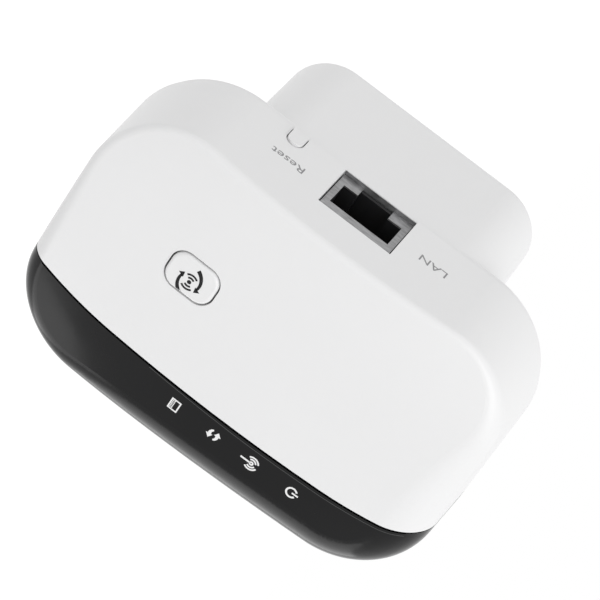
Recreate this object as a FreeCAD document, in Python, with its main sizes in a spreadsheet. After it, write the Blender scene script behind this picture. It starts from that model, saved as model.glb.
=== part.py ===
import FreeCAD, Part
import math
import os
import re

from FreeCAD import Placement, Rotation, Vector
from Sketcher import Constraint

# A mains-plug wifi range extender: a pillow-fronted case that hangs on a wall socket.
# X points right, Z up along the case, and the front faces -Y.  The origin is the middle
# of the face that lies against the wall plate, so the plug pins stand in +Y.

doc = FreeCAD.newDocument("wifi_range_extender")
sheet = doc.addObject("Spreadsheet::Sheet", "Sizes")
os.makedirs("parts", exist_ok=True)

SIZES = {
    # front case: a drafted tray with a crowned face
    "case_length": 82.8,
    "case_width": 56.0,
    "case_corner": 17.0,
    "case_taper": 1.8,
    "case_wall": 2.5,
    "front_depth": 21.8,
    "end_drop": 1.0,
    "side_drop": 0.5,
    "corner_drop": 4.8,
    "crease_radius": 1.2,
    "panel_edge_radius": 8.3,
    "skin_radius": 0.5,
    # glossy side panel, laid in a step of the front case
    "panel_thickness": 1.2,
    "panel_gap": 0.1,
    "panel_width": 14.7,
    "seam_gap": 0.25,
    "seam_radius": 600.0,
    "seam_curl": 19.4,
    "seam_curl_radius": 75.0,
    "trim_margin": 2.0,
    # rear case and the block that carries the plug
    "block_length": 50.7,
    "block_inset": 0.4,
    "block_corner": 9.0,
    "block_depth": 28.0,
    "block_wall": 2.0,
    "block_edge": 2.0,
    "rim_inset": 0.4,
    "rim_thickness": 2.4,
    "rim_edge": 1.2,
    "rib_thickness": 1.2,
    "rib_height": 2.0,
    "rib_length": 22.0,
    "fit_gap": 0.2,
    "vent_width": 1.2,
    "vent_length": 10.0,
    "vent_pitch": 3.0,
    "vent_offset": 17.0,
    "label_recess": 0.3,
    "label_length": 9.0,
    "label_width": 38.0,
    "label_offset": 17.5,
    # case screws
    "screw_side_gap": 11.0,
    "screw_end_gap": 7.9,
    "screw_boss": 3.0,
    "screw_shank": 1.0,
    "screw_head": 1.9,
    "screw_head_height": 1.2,
    "screw_length": 9.0,
    "screw_gap": 0.1,
    # mains plug
    "insert_width": 28.0,
    "insert_length": 22.0,
    "insert_corner": 3.0,
    "insert_flange": 1.6,
    "insert_flange_thickness": 1.5,
    "pin_width": 6.35,
    "pin_thickness": 1.6,
    "pin_reach": 17.0,
    "pin_inside": 12.0,
    "pin_circle": 7.92,
    "pin_angle": 30.0,
    "pin_tip": 0.35,
    "pin_gap": 0.05,
    "sleeve_length": 8.0,
    "sleeve_wall": 0.35,
    # main board
    "board_thickness": 1.6,
    "board_gap": 0.6,
    "post_size": 7.0,
    "board_screw_inset": 4.0,
    "board_screw_length": 6.0,
    # network socket
    "jack_z": 1.0,
    "jack_width": 14.3,
    "jack_height": 12.4,
    "jack_depth": 14.8,
    "jack_overhang": 1.8,
    "jack_metal": 0.3,
    "shield_slot": 3.0,
    "jack_gap": 0.25,
    "plug_width": 11.9,
    "plug_height": 6.5,
    "plug_depth": 12.4,
    "plug_floor": 2.9,
    "latch_width": 6.3,
    "latch_height": 1.8,
    "contact_size": 0.4,
    "contact_pitch": 1.02,
    "contact_setback": 2.2,
    "contact_root": 3.0,
    "contact_spring": 6.2,
    "contact_lean": 14.0,
    # push button in the face
    "button_x": -6.15,
    "button_z": -15.4,
    "button_length": 9.3,
    "button_width": 7.1,
    "button_corner": 2.6,
    "button_gap": 0.3,
    "button_sink": -0.2,
    "button_round": 0.6,
    "button_flange": 1.0,
    "button_flange_thickness": 1.0,
    "button_stem": 1.5,
    "skirt_wall": 1.2,
    "skirt_depth": 3.0,
    "press_travel": 0.4,
    "press_switch_size": 6.0,
    "press_switch_height": 3.5,
    "press_plunger": 1.7,
    "press_plunger_reach": 13.0,
    # reset button in the side wall
    "reset_z": -15.85,
    "reset_width": 3.0,
    "reset_height": 4.4,
    "reset_flange": 0.8,
    "reset_flange_thickness": 0.8,
    "reset_proud": 0.25,
    "reset_rest": 0.3,
    "reset_switch_width": 6.0,
    "reset_switch_depth": 4.0,
    "reset_switch_height": 4.6,
    "reset_switch_setback": 4.4,
    "reset_plunger": 0.7,
    "plunger_hold": 1.4,
    # lamps and light pipe
    "lamp_side_gap": 11.5,
    "lamp_first": -5.9,
    "lamp_pitch": 8.1,
    "lamp_length": 2.0,
    "lamp_width": 1.25,
    "lamp_height": 0.8,
    "pipe_size": 3.0,
    "pipe_clear": 0.9,
    "pipe_bar": 2.0,
    "pipe_bar_height": 7.0,
    "pipe_peg": 0.9,
    "pipe_shoulder": 1.35,
    # aerials
    "aerial_metal": 0.4,
    "aerial_width": 22.0,
    "aerial_rise": 8.0,
    "aerial_end_gap": 1.9,
    "aerial_leg": 4.0,
    "aerial_foot": 1.4,
    # power board
    "power_lift": 3.0,
    "power_screw_inset": 3.5,
    "standoff_radius": 2.5,
    "link_inset": 2.7,
    "link_pitch": 2.54,
    "link_pin": 0.64,
    "link_base": 2.5,
    "sheet_thickness": 0.3,
    "clip_height": 5.0,
    "clip_metal": 0.5,
    # parts on the main board
    "chip_lift": 0.1,
    "core_lift": 0.5,
    "leg_width": 0.4,
    "leg_pitch": 1.24,
    "leg_reach": 0.9,
    "leg_height": 0.6,
    "processor_size": 11.0,
    "processor_x": 6.5,
    "processor_z": 0.0,
    "processor_height": 1.0,
    "sink_height": 5.0,
    "sink_base": 1.2,
    "fin_thickness": 0.8,
    "can_x": 5.0,
    "can_end_gap": 2.6,
    "can_length": 14.0,
    "can_width": 11.0,
    "can_height": 2.6,
    "can_metal": 0.25,
    "can_hole": 0.6,
    "can_hole_pitch": 2.4,
    "radio_size": 7.0,
    "network_gap": 1.3,
    "network_length": 12.8,
    "network_width": 7.0,
    "network_height": 5.6,
    "flash_x": 4.0,
    "flash_z": -11.5,
    "flash_length": 5.3,
    "flash_width": 5.3,
    "flash_height": 1.8,
    "crystal_x": 5.0,
    "crystal_z": -17.0,
    "crystal_length": 11.0,
    "crystal_width": 4.4,
    "crystal_height": 3.5,
    "small_cap_radius": 2.5,
    "small_cap_height": 6.5,
    "small_cap_x": 13.6,
    "small_cap_end_gap": 4.5,
    "small_cap_pitch": 5.8,
    "coil_inset": 1.1,
    "coil_z": 12.0,
    "coil_size": 5.0,
    "coil_height": 3.0,
    # parts on the power board
    "core_x": -9.5,
    "core_z": -9.0,
    "core_length": 16.0,
    "core_width": 5.0,
    "core_height": 13.0,
    "core_leg": 2.2,
    "core_centre": 4.0,
    "winding_length": 9.6,
    "winding_width": 11.0,
    "winding_gap": 0.15,
    "bulk_radius": 4.0,
    "bulk_height": 13.0,
    "bulk_pitch": 8.3,
    "bulk_x": 4.9,
    "bulk_z": -9.5,
    "cap_groove": 0.3,
    "output_x": -15.5,
    "output_z": 3.5,
    "output_radius": 3.15,
    "output_height": 11.0,
    "bridge_x": 14.4,
    "bridge_z": 3.0,
    "controller_x": 0.0,
    "controller_z": 12.0,
    "disc_x": -11.0,
    "disc_z": 12.5,
    "disc_radius": 3.6,
    "disc_thickness": 3.0,
    "fuse_x": 13.0,
    "fuse_z": 12.5,
    "fuse_radius": 1.7,
    "fuse_length": 9.0,
    "wire_radius": 0.35,
    "foot_radius": 0.5,
    "choke_inset": 0.4,
    "choke_z": -2.5,
    "choke_radius": 2.8,
    "choke_height": 8.0,
    "choke_flange": 1.0,
}

# Places and lengths that follow from the sizes above.
LINKED = {
    "block_width": "case_width-2*block_inset",
    "board_side": "block_width/2-block_wall-board_gap",
    "board_end": "block_length/2-block_wall-board_gap",
    "board_screw_x": "block_width/2-block_wall-board_screw_inset",
    "board_screw_z": "block_length/2-block_wall-board_screw_inset",
    "power_end": "block_length/2-block_wall-post_size-board_gap",
    "power_screw_x": "board_side-power_screw_inset",
    "power_screw_z": "power_end-power_screw_inset",
    "seam_middle": "case_width/2-panel_width",
    "seam_half": "case_length/2-seam_curl",
    "screw_x": "case_width/2-screw_side_gap",
    "screw_z": "case_length/2-screw_end_gap",
    "lamp_x": "case_width/2-lamp_side_gap",
    "link_x": "board_side-link_inset",
    "aerial_root": "board_end-aerial_foot/2",
    "aerial_tip": "case_length/2-case_wall-aerial_end_gap",
    "network_x": "jack_depth+network_gap+network_width/2-board_side-jack_overhang",
    "can_z": "board_end-can_end_gap-can_width/2",
    "coil_x": "board_side-coil_inset-coil_size/2",
    "small_cap_z": "small_cap_end_gap-board_end",
    "choke_x": "choke_inset+choke_radius-board_side",
    "fin_pitch": "(processor_size-fin_thickness)/5",
}

for row, (alias, value) in enumerate(SIZES.items(), start=1):
    sheet.set("A%d" % row, alias)
    sheet.set("B%d" % row, str(value))
    sheet.setAlias("B%d" % row, alias)
doc.recompute()

working = doc.addObject("Spreadsheet::Sheet", "Working")
nodes = []


def formula(text):
    """Turn the words of a size formula into cells of the sheet, with linked lengths opened up."""
    return re.sub(r"[a-z][a-z_]*[a-z]", one_word, str(text))


def one_word(match):
    word = match.group(0)
    if word in LINKED:
        return "(" + formula(LINKED[word]) + ")"
    return "Sizes." + word if word in SIZES else word


def amount(text):
    """The present value of a size formula, worked out in a cell of the working sheet."""
    working.set("A1", "=" + formula(text))
    working.recompute()
    return float(working.get("A1"))


def bind(thing, **formulas):
    """Tie properties to the sheet; a double underscore in a name stands for a dot."""
    for path, text in formulas.items():
        thing.setExpression(path.replace("__", "."), formula(text))
    return thing


def place(thing, x, y, z):
    return bind(thing, Placement__Base__x=x, Placement__Base__y=y, Placement__Base__z=z)


def node(thing, label):
    """Name a finished sub-part; its file takes the same name."""
    thing.Label = label
    nodes.append(thing)
    return thing


def block(name, x, y, z, length, width, height):
    """A box from its lowest corner, with its sizes along X, Y and Z."""
    box = doc.addObject("Part::Box", name)
    bind(box, Length=length, Width=width, Height=height)
    return place(box, x, y, z)


def centred(name, x, y, z, length, width, height):
    """A box centred on x and z that starts at y."""
    return block(name, "%s-(%s)/2" % (x, length), y, "%s-(%s)/2" % (z, height), length, width, height)


def rod(name, axis, x, y, z, radius, length):
    """A round bar that starts at a point and runs along +X, +Y, -Y or +Z."""
    turn = {
        "X": Rotation(Vector(0, 1, 0), 90),
        "Y": Rotation(Vector(1, 0, 0), -90),
        "-Y": Rotation(Vector(1, 0, 0), 90),
        "Z": Rotation(),
    }[axis]
    bar = doc.addObject("Part::Cylinder", name)
    bar.Placement = Placement(Vector(), turn)
    bind(bar, Radius=radius, Height=length)
    return place(bar, x, y, z)


def join(name, *pieces):
    whole = doc.addObject("Part::MultiFuse", name)
    whole.Shapes = list(pieces)
    return whole


def cut(name, base, *tools):
    tool = tools[0]
    if len(tools) > 1:
        tool = join(name + "_tools", *tools)
    result = doc.addObject("Part::Cut", name)
    result.Base = base
    result.Tool = tool
    return result


def overlap(name, first, second):
    both = doc.addObject("Part::Common", name)
    both.Base = first
    both.Tool = second
    return both


def bunch(name, *pieces):
    """Separate solids that share one node."""
    group = doc.addObject("Part::Compound", name)
    group.Links = list(pieces)
    return group


def new_body(name):
    return doc.addObject("PartDesign::Body", name)


def new_sketch(body, name, plane, x=0, y=0, z=0):
    """A sketch on one of the body's own planes, shifted by the plane's own x, y and normal."""
    for plane_feature in body.Origin.OriginFeatures:
        if plane_feature.Role == plane:
            support = plane_feature
    sketch = body.newObject("Sketcher::SketchObject", name)
    sketch.AttachmentSupport = [(support, "")]
    sketch.MapMode = "FlatFace"
    bind(sketch, AttachmentOffset__Base__x=x, AttachmentOffset__Base__y=y, AttachmentOffset__Base__z=z)
    return sketch


def dimension(sketch, name, text, *constraint):
    """A named sketch dimension that follows the sheet."""
    index = sketch.addConstraint(Constraint(*constraint, amount(text)))
    sketch.renameConstraint(index, name)
    sketch.setExpression("Constraints." + name, formula(text))


def rounded_rectangle(sketch, width, height, radius):
    """Four sides and four corner arcs about the sketch's origin."""
    corner = amount(radius)
    far_x = amount(width) / 2
    far_y = amount(height) / 2
    near_x = far_x - corner
    near_y = far_y - corner
    sides = (
        (-near_x, -far_y, near_x, -far_y),
        (far_x, -near_y, far_x, near_y),
        (near_x, far_y, -near_x, far_y),
        (-far_x, near_y, -far_x, -near_y),
    )
    for x1, y1, x2, y2 in sides:
        sketch.addGeometry(Part.LineSegment(Vector(x1, y1, 0), Vector(x2, y2, 0)), False)
    centres = ((near_x, -near_y), (near_x, near_y), (-near_x, near_y), (-near_x, -near_y))
    for quarter, (x, y) in enumerate(centres):
        circle = Part.Circle(Vector(x, y, 0), Vector(0, 0, 1), corner)
        begin = math.radians(90 * quarter - 90)
        sketch.addGeometry(Part.ArcOfCircle(circle, begin, begin + math.pi / 2), False)
    for side in range(4):
        sketch.addConstraint(Constraint("Tangent", side, 2, 4 + side, 1))
        sketch.addConstraint(Constraint("Tangent", 4 + side, 2, (side + 1) % 4, 1))
    for level, upright in ((0, 1), (2, 3)):
        sketch.addConstraint(Constraint("Horizontal", level))
        sketch.addConstraint(Constraint("Vertical", upright))
    for corner_arc in (5, 6, 7):
        sketch.addConstraint(Constraint("Equal", 4, corner_arc))
    sketch.addConstraint(Constraint("Symmetric", 0, 1, 2, 1, -1, 1))
    dimension(sketch, "corner", radius, "Radius", 4)
    dimension(sketch, "width", width, "DistanceX", 3, 1, 1, 1)
    dimension(sketch, "height", height, "DistanceY", 0, 1, 2, 1)


def rounded_pad(name, width, height, radius, y, length, toward="+Y", x=0, z=0, taper=0, edge=None):
    """A body: a rounded rectangle in X and Z, padded along Y from y."""
    body = new_body(name)
    sketch = new_sketch(body, name + "_outline", "XZ_Plane", x, z, "-(%s)" % y)
    rounded_rectangle(sketch, width, height, radius)
    pad = body.newObject("PartDesign::Pad", name + "_pad")
    pad.Profile = sketch
    pad.Reversed = toward == "+Y"
    bind(pad, Length=length)
    if taper:
        bind(pad, TaperAngle=taper)
    doc.recompute()
    if edge:
        fillet = body.newObject("PartDesign::Fillet", name + "_edge")
        far = pad.Shape.BoundBox.YMax if toward == "+Y" else pad.Shape.BoundBox.YMin
        rim = [
            "Edge%d" % (index + 1)
            for index, found in enumerate(pad.Shape.Edges)
            if abs(found.BoundBox.YMin - far) + abs(found.BoundBox.YMax - far) < 1e-3
        ]
        fillet.Base = (pad, rim)
        bind(fillet, Radius=edge)
    return body


PARTING = "-block_depth"
FACE = "-(block_depth+front_depth)"


# ---- front case: one tray shape, made at three insets --------------------------------

def crown_section(body, name, at_z, drop, side_drop, inset):
    """The closed outline that trims the tray's front to its crown at one height."""
    half = "case_width/2"
    crown = "((%s)^2+(%s)^2)/(2*(%s))-(%s)" % (half, side_drop, side_drop, inset)
    front = "block_depth+front_depth-(%s)-(%s)" % (drop, inset)
    reach = "case_width/2+trim_margin"
    far = "-(block_depth+front_depth+trim_margin)"
    sketch = new_sketch(body, name, "XY_Plane", 0, 0, at_z)
    radius = amount(crown)
    centre = radius - amount(front)
    side_x = amount(reach)
    far_y = amount(far)
    swing = math.asin(side_x / radius)
    side_y = centre - radius * math.cos(swing)
    circle = Part.Circle(Vector(0, centre, 0), Vector(0, 0, 1), radius)
    sketch.addGeometry(Part.ArcOfCircle(circle, -math.pi / 2 - swing, -math.pi / 2 + swing), False)
    corners = (
        Vector(side_x, side_y, 0),
        Vector(side_x, far_y, 0),
        Vector(-side_x, far_y, 0),
        Vector(-side_x, side_y, 0),
    )
    for first, second in zip(corners, corners[1:]):
        sketch.addGeometry(Part.LineSegment(first, second), False)
    sketch.addConstraint(Constraint("Coincident", 0, 2, 1, 1))
    sketch.addConstraint(Constraint("Coincident", 1, 2, 2, 1))
    sketch.addConstraint(Constraint("Coincident", 2, 2, 3, 1))
    sketch.addConstraint(Constraint("Coincident", 3, 2, 0, 1))
    sketch.addConstraint(Constraint("Vertical", 1))
    sketch.addConstraint(Constraint("Vertical", 3))
    sketch.addConstraint(Constraint("Horizontal", 2))
    sketch.addConstraint(Constraint("Symmetric", 0, 1, 0, 2, -2))
    dimension(sketch, "crown", crown, "Radius", 0)
    dimension(sketch, "centre", "%s-(%s)" % (crown, front), "DistanceY", -1, 1, 0, 3)
    dimension(sketch, "reach", reach, "DistanceX", -1, 1, 0, 2)
    dimension(sketch, "far", far, "DistanceY", -1, 1, 1, 2)
    return sketch


def tray(name, inset, crease, panel_edge, start="0"):
    """The tray's outside at an inset: drafted sides, crowned front, rounded edges."""
    body = rounded_pad(
        name + "_block",
        "case_width-2*(%s)" % inset,
        "case_length-2*(%s)" % inset,
        "case_corner-(%s)" % inset,
        "-block_depth+(%s)" % start,
        "front_depth+(%s)+trim_margin/2" % start,
        "-Y",
        taper="-case_taper",
    )
    end = "case_length/2+trim_margin"
    sections = [
        crown_section(body, name + "_low", "-(%s)" % end, "end_drop", "side_drop+corner_drop", inset),
        crown_section(body, name + "_middle", "0", "0", "side_drop", inset),
        crown_section(body, name + "_high", end, "end_drop", "side_drop+corner_drop", inset),
    ]
    trim = body.newObject("PartDesign::SubtractiveLoft", name + "_crown")
    trim.Profile = sections[0]
    trim.Sections = sections[1:]
    doc.recompute()
    rounded = doc.addObject("Part::Fillet", name)
    rounded.Base = body
    rounded.Edges = [
        side_ridge(body.Shape, -1, amount(crease)),
        side_ridge(body.Shape, 1, amount(panel_edge)),
    ]
    return rounded


def side_ridge(shape, side, radius):
    """The long edge between a side wall and the crowned front, with its fillet."""
    shortest = amount("case_length/4")
    off_centre = amount("case_width/4")
    behind = amount("-block_depth-front_depth/2")
    for index, edge in enumerate(shape.Edges, start=1):
        middle = edge.CenterOfMass
        if edge.Length > shortest and middle.x * side > off_centre and middle.y < behind:
            return (index, radius, radius)
    raise RuntimeError("no side ridge on side %d" % side)


seat_inset = "panel_thickness+panel_gap"
outside = tray("case_outside", "0", "crease_radius", "panel_edge_radius")
panel_back = tray("panel_back", "panel_thickness", "skin_radius", "panel_edge_radius-panel_thickness")
seat = tray("panel_seat", seat_inset, "skin_radius", "panel_edge_radius-(%s)" % seat_inset)
cavity = tray("case_cavity", "case_wall", "skin_radius", "panel_edge_radius-case_wall", start="trim_margin")


def panel_side(name, gap):
    """Everything on the panel's side of the seam, which bows and then curls at its ends."""
    body = new_body(name)
    sketch = new_sketch(body, name + "_outline", "XZ_Plane", 0, 0, "block_depth-trim_margin")
    top = "case_length/2+trim_margin"
    bow_centre = "seam_radius-seam_middle+(%s)" % gap
    bow = amount("seam_radius")
    half = amount("seam_half")
    curl = amount("seam_curl_radius")
    centre_x = -amount(bow_centre)
    top_z = amount(top)
    far = amount("case_width")
    swing = math.asin(half / bow)
    main = Part.Circle(Vector(centre_x, 0, 0), Vector(0, 0, 1), bow)
    sketch.addGeometry(Part.ArcOfCircle(main, -swing, swing), False)
    curl_x = centre_x + (bow - curl) * math.cos(swing)
    curl_z = half - curl * math.sin(swing)
    lean = math.asin((top_z - curl_z) / curl)
    for side in (1, -1):
        circle = Part.Circle(Vector(curl_x, side * curl_z, 0), Vector(0, 0, 1), curl)
        first, last = sorted((side * swing, side * lean))
        sketch.addGeometry(Part.ArcOfCircle(circle, first, last), False)
    end_x = curl_x + curl * math.cos(lean)
    points = (
        Vector(end_x, top_z, 0),
        Vector(far, top_z, 0),
        Vector(far, -top_z, 0),
        Vector(end_x, -top_z, 0),
    )
    for first, second in zip(points, points[1:]):
        sketch.addGeometry(Part.LineSegment(first, second), False)
    sketch.addConstraint(Constraint("Tangent", 0, 2, 1, 1))
    sketch.addConstraint(Constraint("Tangent", 0, 1, 2, 2))
    sketch.addConstraint(Constraint("Coincident", 1, 2, 3, 1))
    sketch.addConstraint(Constraint("Coincident", 3, 2, 4, 1))
    sketch.addConstraint(Constraint("Coincident", 4, 2, 5, 1))
    sketch.addConstraint(Constraint("Coincident", 5, 2, 2, 1))
    sketch.addConstraint(Constraint("Horizontal", 3))
    sketch.addConstraint(Constraint("Vertical", 4))
    sketch.addConstraint(Constraint("Horizontal", 5))
    sketch.addConstraint(Constraint("Symmetric", 0, 1, 0, 2, -1))
    sketch.addConstraint(Constraint("Symmetric", 1, 2, 2, 1, -1))
    dimension(sketch, "bow", "seam_radius", "Radius", 0)
    dimension(sketch, "curl", "seam_curl_radius", "Radius", 1)
    dimension(sketch, "half", "seam_half", "DistanceY", -1, 1, 0, 2)
    dimension(sketch, "middle", bow_centre, "DistanceX", 0, 3, -1, 1)
    dimension(sketch, "top", top, "DistanceY", -1, 1, 1, 2)
    dimension(sketch, "far", "case_width", "DistanceX", -1, 1, 3, 2)
    pad = body.newObject("PartDesign::Pad", name + "_pad")
    pad.Profile = sketch
    bind(pad, Length="front_depth+2*trim_margin")
    return body


panel_region = panel_side("panel_region", "0")
panel_room = panel_side("panel_room", "seam_gap")
doc.recompute()

# The smoked panel is the skin of the tray on its own side of the seam.
panel_skin = overlap("panel_skin", outside, panel_region)
indicator_panel = node(cut("indicator_panel_solid", panel_skin, panel_back), "indicator_panel")

# The front case is the tray with a step for the panel, hollowed, with bosses inside.
panel_step = cut("panel_step", panel_room, seat)
stepped = cut("front_stepped", outside, panel_step)
hollowed = cut("front_hollowed", stepped, cavity)

boss_rods = []
for side in (-1, 1):
    for end in (-1, 1):
        boss_rods.append(
            rod("boss_%d%d" % (side + 1, end + 1), "-Y", "%d*screw_x" % side, PARTING,
                "%d*screw_z" % end, "screw_boss", "front_depth")
        )
skirt_outer = rounded_pad(
    "skirt_outer",
    "button_width+2*(button_flange+button_gap+skirt_wall)",
    "button_length+2*(button_flange+button_gap+skirt_wall)",
    "button_corner+button_flange+button_gap+skirt_wall",
    "%s+case_wall+skirt_depth" % FACE, "skirt_depth+case_wall/2", "-Y", "button_x", "button_z",
)
inside_bosses = overlap("front_bosses", join("boss_set", skirt_outer, *boss_rods), seat)
bossed = join("front_bossed", hollowed, inside_bosses)

button_hole = rounded_pad(
    "button_hole",
    "button_width+2*button_gap",
    "button_length+2*button_gap",
    "button_corner+button_gap",
    "%s+case_wall+skirt_depth+1" % FACE, "case_wall+skirt_depth+3", "-Y", "button_x", "button_z",
)
button_room = rounded_pad(
    "button_room",
    "button_width+2*(button_flange+button_gap)",
    "button_length+2*(button_flange+button_gap)",
    "button_corner+button_flange+button_gap",
    "%s+case_wall+skirt_depth+1" % FACE, "skirt_depth+1-fit_gap", "-Y", "button_x", "button_z",
)
jack_window = block(
    "jack_window",
    "-case_width/2-2", "-block_depth-jack_height-jack_gap", "jack_z-jack_width/2-jack_gap",
    "case_wall+5", "jack_height+jack_gap+1", "jack_width+2*jack_gap",
)
reset_slot = block(
    "reset_slot",
    "-case_width/2-2", "-block_depth-reset_height-fit_gap+(reset_width/2+fit_gap)",
    "reset_z-reset_width/2-fit_gap",
    "case_wall+3", "reset_height+1-reset_width/2", "reset_width+2*fit_gap",
)
reset_slot_end = rod(
    "reset_slot_end", "X", "-case_width/2-2", "-block_depth-reset_height+reset_width/2", "reset_z",
    "reset_width/2+fit_gap", "case_wall+3",
)
screw_pilots = []
for side in (-1, 1):
    for end in (-1, 1):
        screw_pilots.append(
            rod("pilot_%d%d" % (side + 1, end + 1), "-Y", "%d*screw_x" % side, "-block_depth+1",
                "%d*screw_z" % end, "screw_shank+screw_gap/2", "screw_length+2")
        )
pipe_windows = []
for lamp in range(4):
    pipe_windows.append(
        centred("pipe_window_%d" % lamp, "lamp_x", "%s-1" % FACE, "lamp_first+%d*lamp_pitch" % lamp,
                "pipe_size+2*fit_gap", "case_wall+4", "pipe_size+2*fit_gap")
    )
front_shell = node(
    cut("front_shell_solid", bossed, button_hole, button_room, jack_window, reset_slot, reset_slot_end,
        *screw_pilots, *pipe_windows),
    "front_shell",
)

# ---- rear case: a rim that closes the tray, and the deep block that carries the plug ----

rim = rounded_pad(
    "rear_rim", "case_width-2*rim_inset", "case_length-2*rim_inset", "case_corner-rim_inset",
    PARTING, "rim_thickness", edge="rim_edge",
)
plug_block = rounded_pad(
    "plug_block", "block_width", "block_length", "block_corner", PARTING, "block_depth", edge="block_edge"
)
block_room = rounded_pad(
    "block_room", "block_width-2*block_wall", "block_length-2*block_wall", "block_corner-block_wall",
    "-block_depth-1", "block_depth-block_wall+1",
)
rear_tub = cut("rear_tub", join("rear_blank", rim, plug_block), block_room)

post_boxes = []
for side in (-1, 1):
    for end in (-1, 1):
        post_boxes.append(
            centred("post_%d%d" % (side + 1, end + 1),
                    "%d*(block_width/2-(block_wall+post_size)/2)" % side,
                    "-block_depth+board_thickness",
                    "%d*(block_length/2-(block_wall+post_size)/2)" % end,
                    "block_wall+post_size", "block_depth-board_thickness-block_wall/2",
                    "block_wall+post_size")
        )
posts = overlap("rear_posts", join("post_set", *post_boxes), plug_block)
standoffs = []
for side in (-1, 1):
    for end in (-1, 1):
        standoffs.append(
            rod("standoff_%d%d" % (side + 1, end + 1), "-Y", "%d*power_screw_x" % side, "-block_wall/2",
                "%d*power_screw_z" % end, "standoff_radius", "block_wall/2+power_lift")
        )
ribs = []
for end in (-1, 1):
    ribs.append(
        centred("rib_%d" % (end + 1), "0", "-block_depth-rib_height",
                "%d*(case_length/2-case_wall-fit_gap-rib_thickness/2)" % end,
                "rib_length", "rib_height+rim_thickness/2", "rib_thickness")
    )
rear_full = join("rear_full", rear_tub, posts, *standoffs, *ribs)

rear_cuts = []
for side in (-1, 1):
    for end in (-1, 1):
        spot = "%d%d" % (side + 1, end + 1)
        where = ("%d*screw_x" % side, "%d*screw_z" % end)
        rear_cuts.append(
            rod("screw_way_" + spot, "Y", where[0], "-block_depth-1", where[1],
                "screw_shank+screw_gap", "rim_thickness+2")
        )
        rear_cuts.append(
            rod("screw_well_" + spot, "Y", where[0], "-block_depth+rim_thickness-screw_head_height",
                where[1], "screw_head+screw_gap", "screw_head_height+1")
        )
for side in (-1, 1):
    rear_cuts.append(
        rod("board_pilot_%d" % (side + 1), "Y", "%d*board_screw_x" % side, "-block_depth",
            "%d*board_screw_z" % -side, "screw_shank+screw_gap/2", "board_thickness+board_screw_length+1")
    )
    rear_cuts.append(
        rod("power_pilot_%d" % (side + 1), "-Y", "%d*power_screw_x" % side, "-block_wall/2",
            "%d*power_screw_z" % -side, "screw_shank+screw_gap/2", "block_wall/2+power_lift+1")
    )
for slot in range(5):
    rear_cuts.append(
        centred("vent_%d" % slot, "%d*vent_pitch" % (slot - 2), "-vent_offset",
                "0", "vent_width", "vent_length", "block_length+2")
    )
rear_cuts.append(
    rounded_pad("insert_opening", "insert_width+2*panel_gap", "insert_length+2*panel_gap",
                "insert_corner+panel_gap", "-block_wall-1", "block_wall+2")
)
rear_cuts.append(
    rounded_pad("label_field", "label_width", "label_length", "1", "-label_recess", "label_recess+1",
                z="-label_offset")
)
rear_shell = node(cut("rear_shell_solid", rear_full, *rear_cuts), "rear_shell")


def screws(name, places, head_y, head_height, head_radius, length, toward):
    """Pan-head self-tapping screws with a cross recess, one solid at each place."""
    back = "-Y" if toward == "+Y" else "Y"
    sign = 1 if toward == "+Y" else -1
    pieces = []
    for index, (x, z) in enumerate(places):
        stem = "%s_%d_" % (name, index)
        head = rod(stem + "head", back, x, head_y, z, head_radius, head_height)
        shank_way = "Y" if toward == "+Y" else "-Y"
        shank = rod(stem + "shank", shank_way, x, head_y, z, "screw_shank", length)
        low = "(%s)-(%s)" % (head_y, head_height) if sign > 0 else "(%s)+(%s)/2" % (head_y, head_height)
        across = centred(stem + "slot_a", x, low, z, head_radius, "(%s)/2" % head_height, "screw_shank/3")
        along = centred(stem + "slot_b", x, low, z, "screw_shank/3", "(%s)/2" % head_height, head_radius)
        pieces.append(cut(stem + "screw", join(stem + "blank", head, shank), across, along))
    return node(bunch(name + "_set", *pieces), name)


case_screw_places = []
for side in (-1, 1):
    for end in (-1, 1):
        case_screw_places.append(("%d*screw_x" % side, "%d*screw_z" % end))
screws("case_screws", case_screw_places, "-block_depth+rim_thickness-screw_head_height",
       "screw_head_height", "screw_head", "screw_length", "-Y")

# ---- mains plug: an insulating insert with two blades that lean in towards the top ----

blade_way = {-1: "pin_angle", 1: "-pin_angle"}


def blade_body(name, side, width, thickness, start, length, tip=None):
    """A flat bar along +Y at a pin's place, leaning as the pin does."""
    body = rounded_pad(name, thickness, width, "(%s)/4" % thickness, start, length, edge=tip)
    body.Placement = Placement(Vector(), Rotation(Vector(0, 1, 0), side))
    bind(body, Placement__Rotation__Angle=blade_way[side])
    place(body, "%d*pin_circle*cos(pin_angle)" % side, "0", "pin_circle*sin(pin_angle)")
    return body


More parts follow.
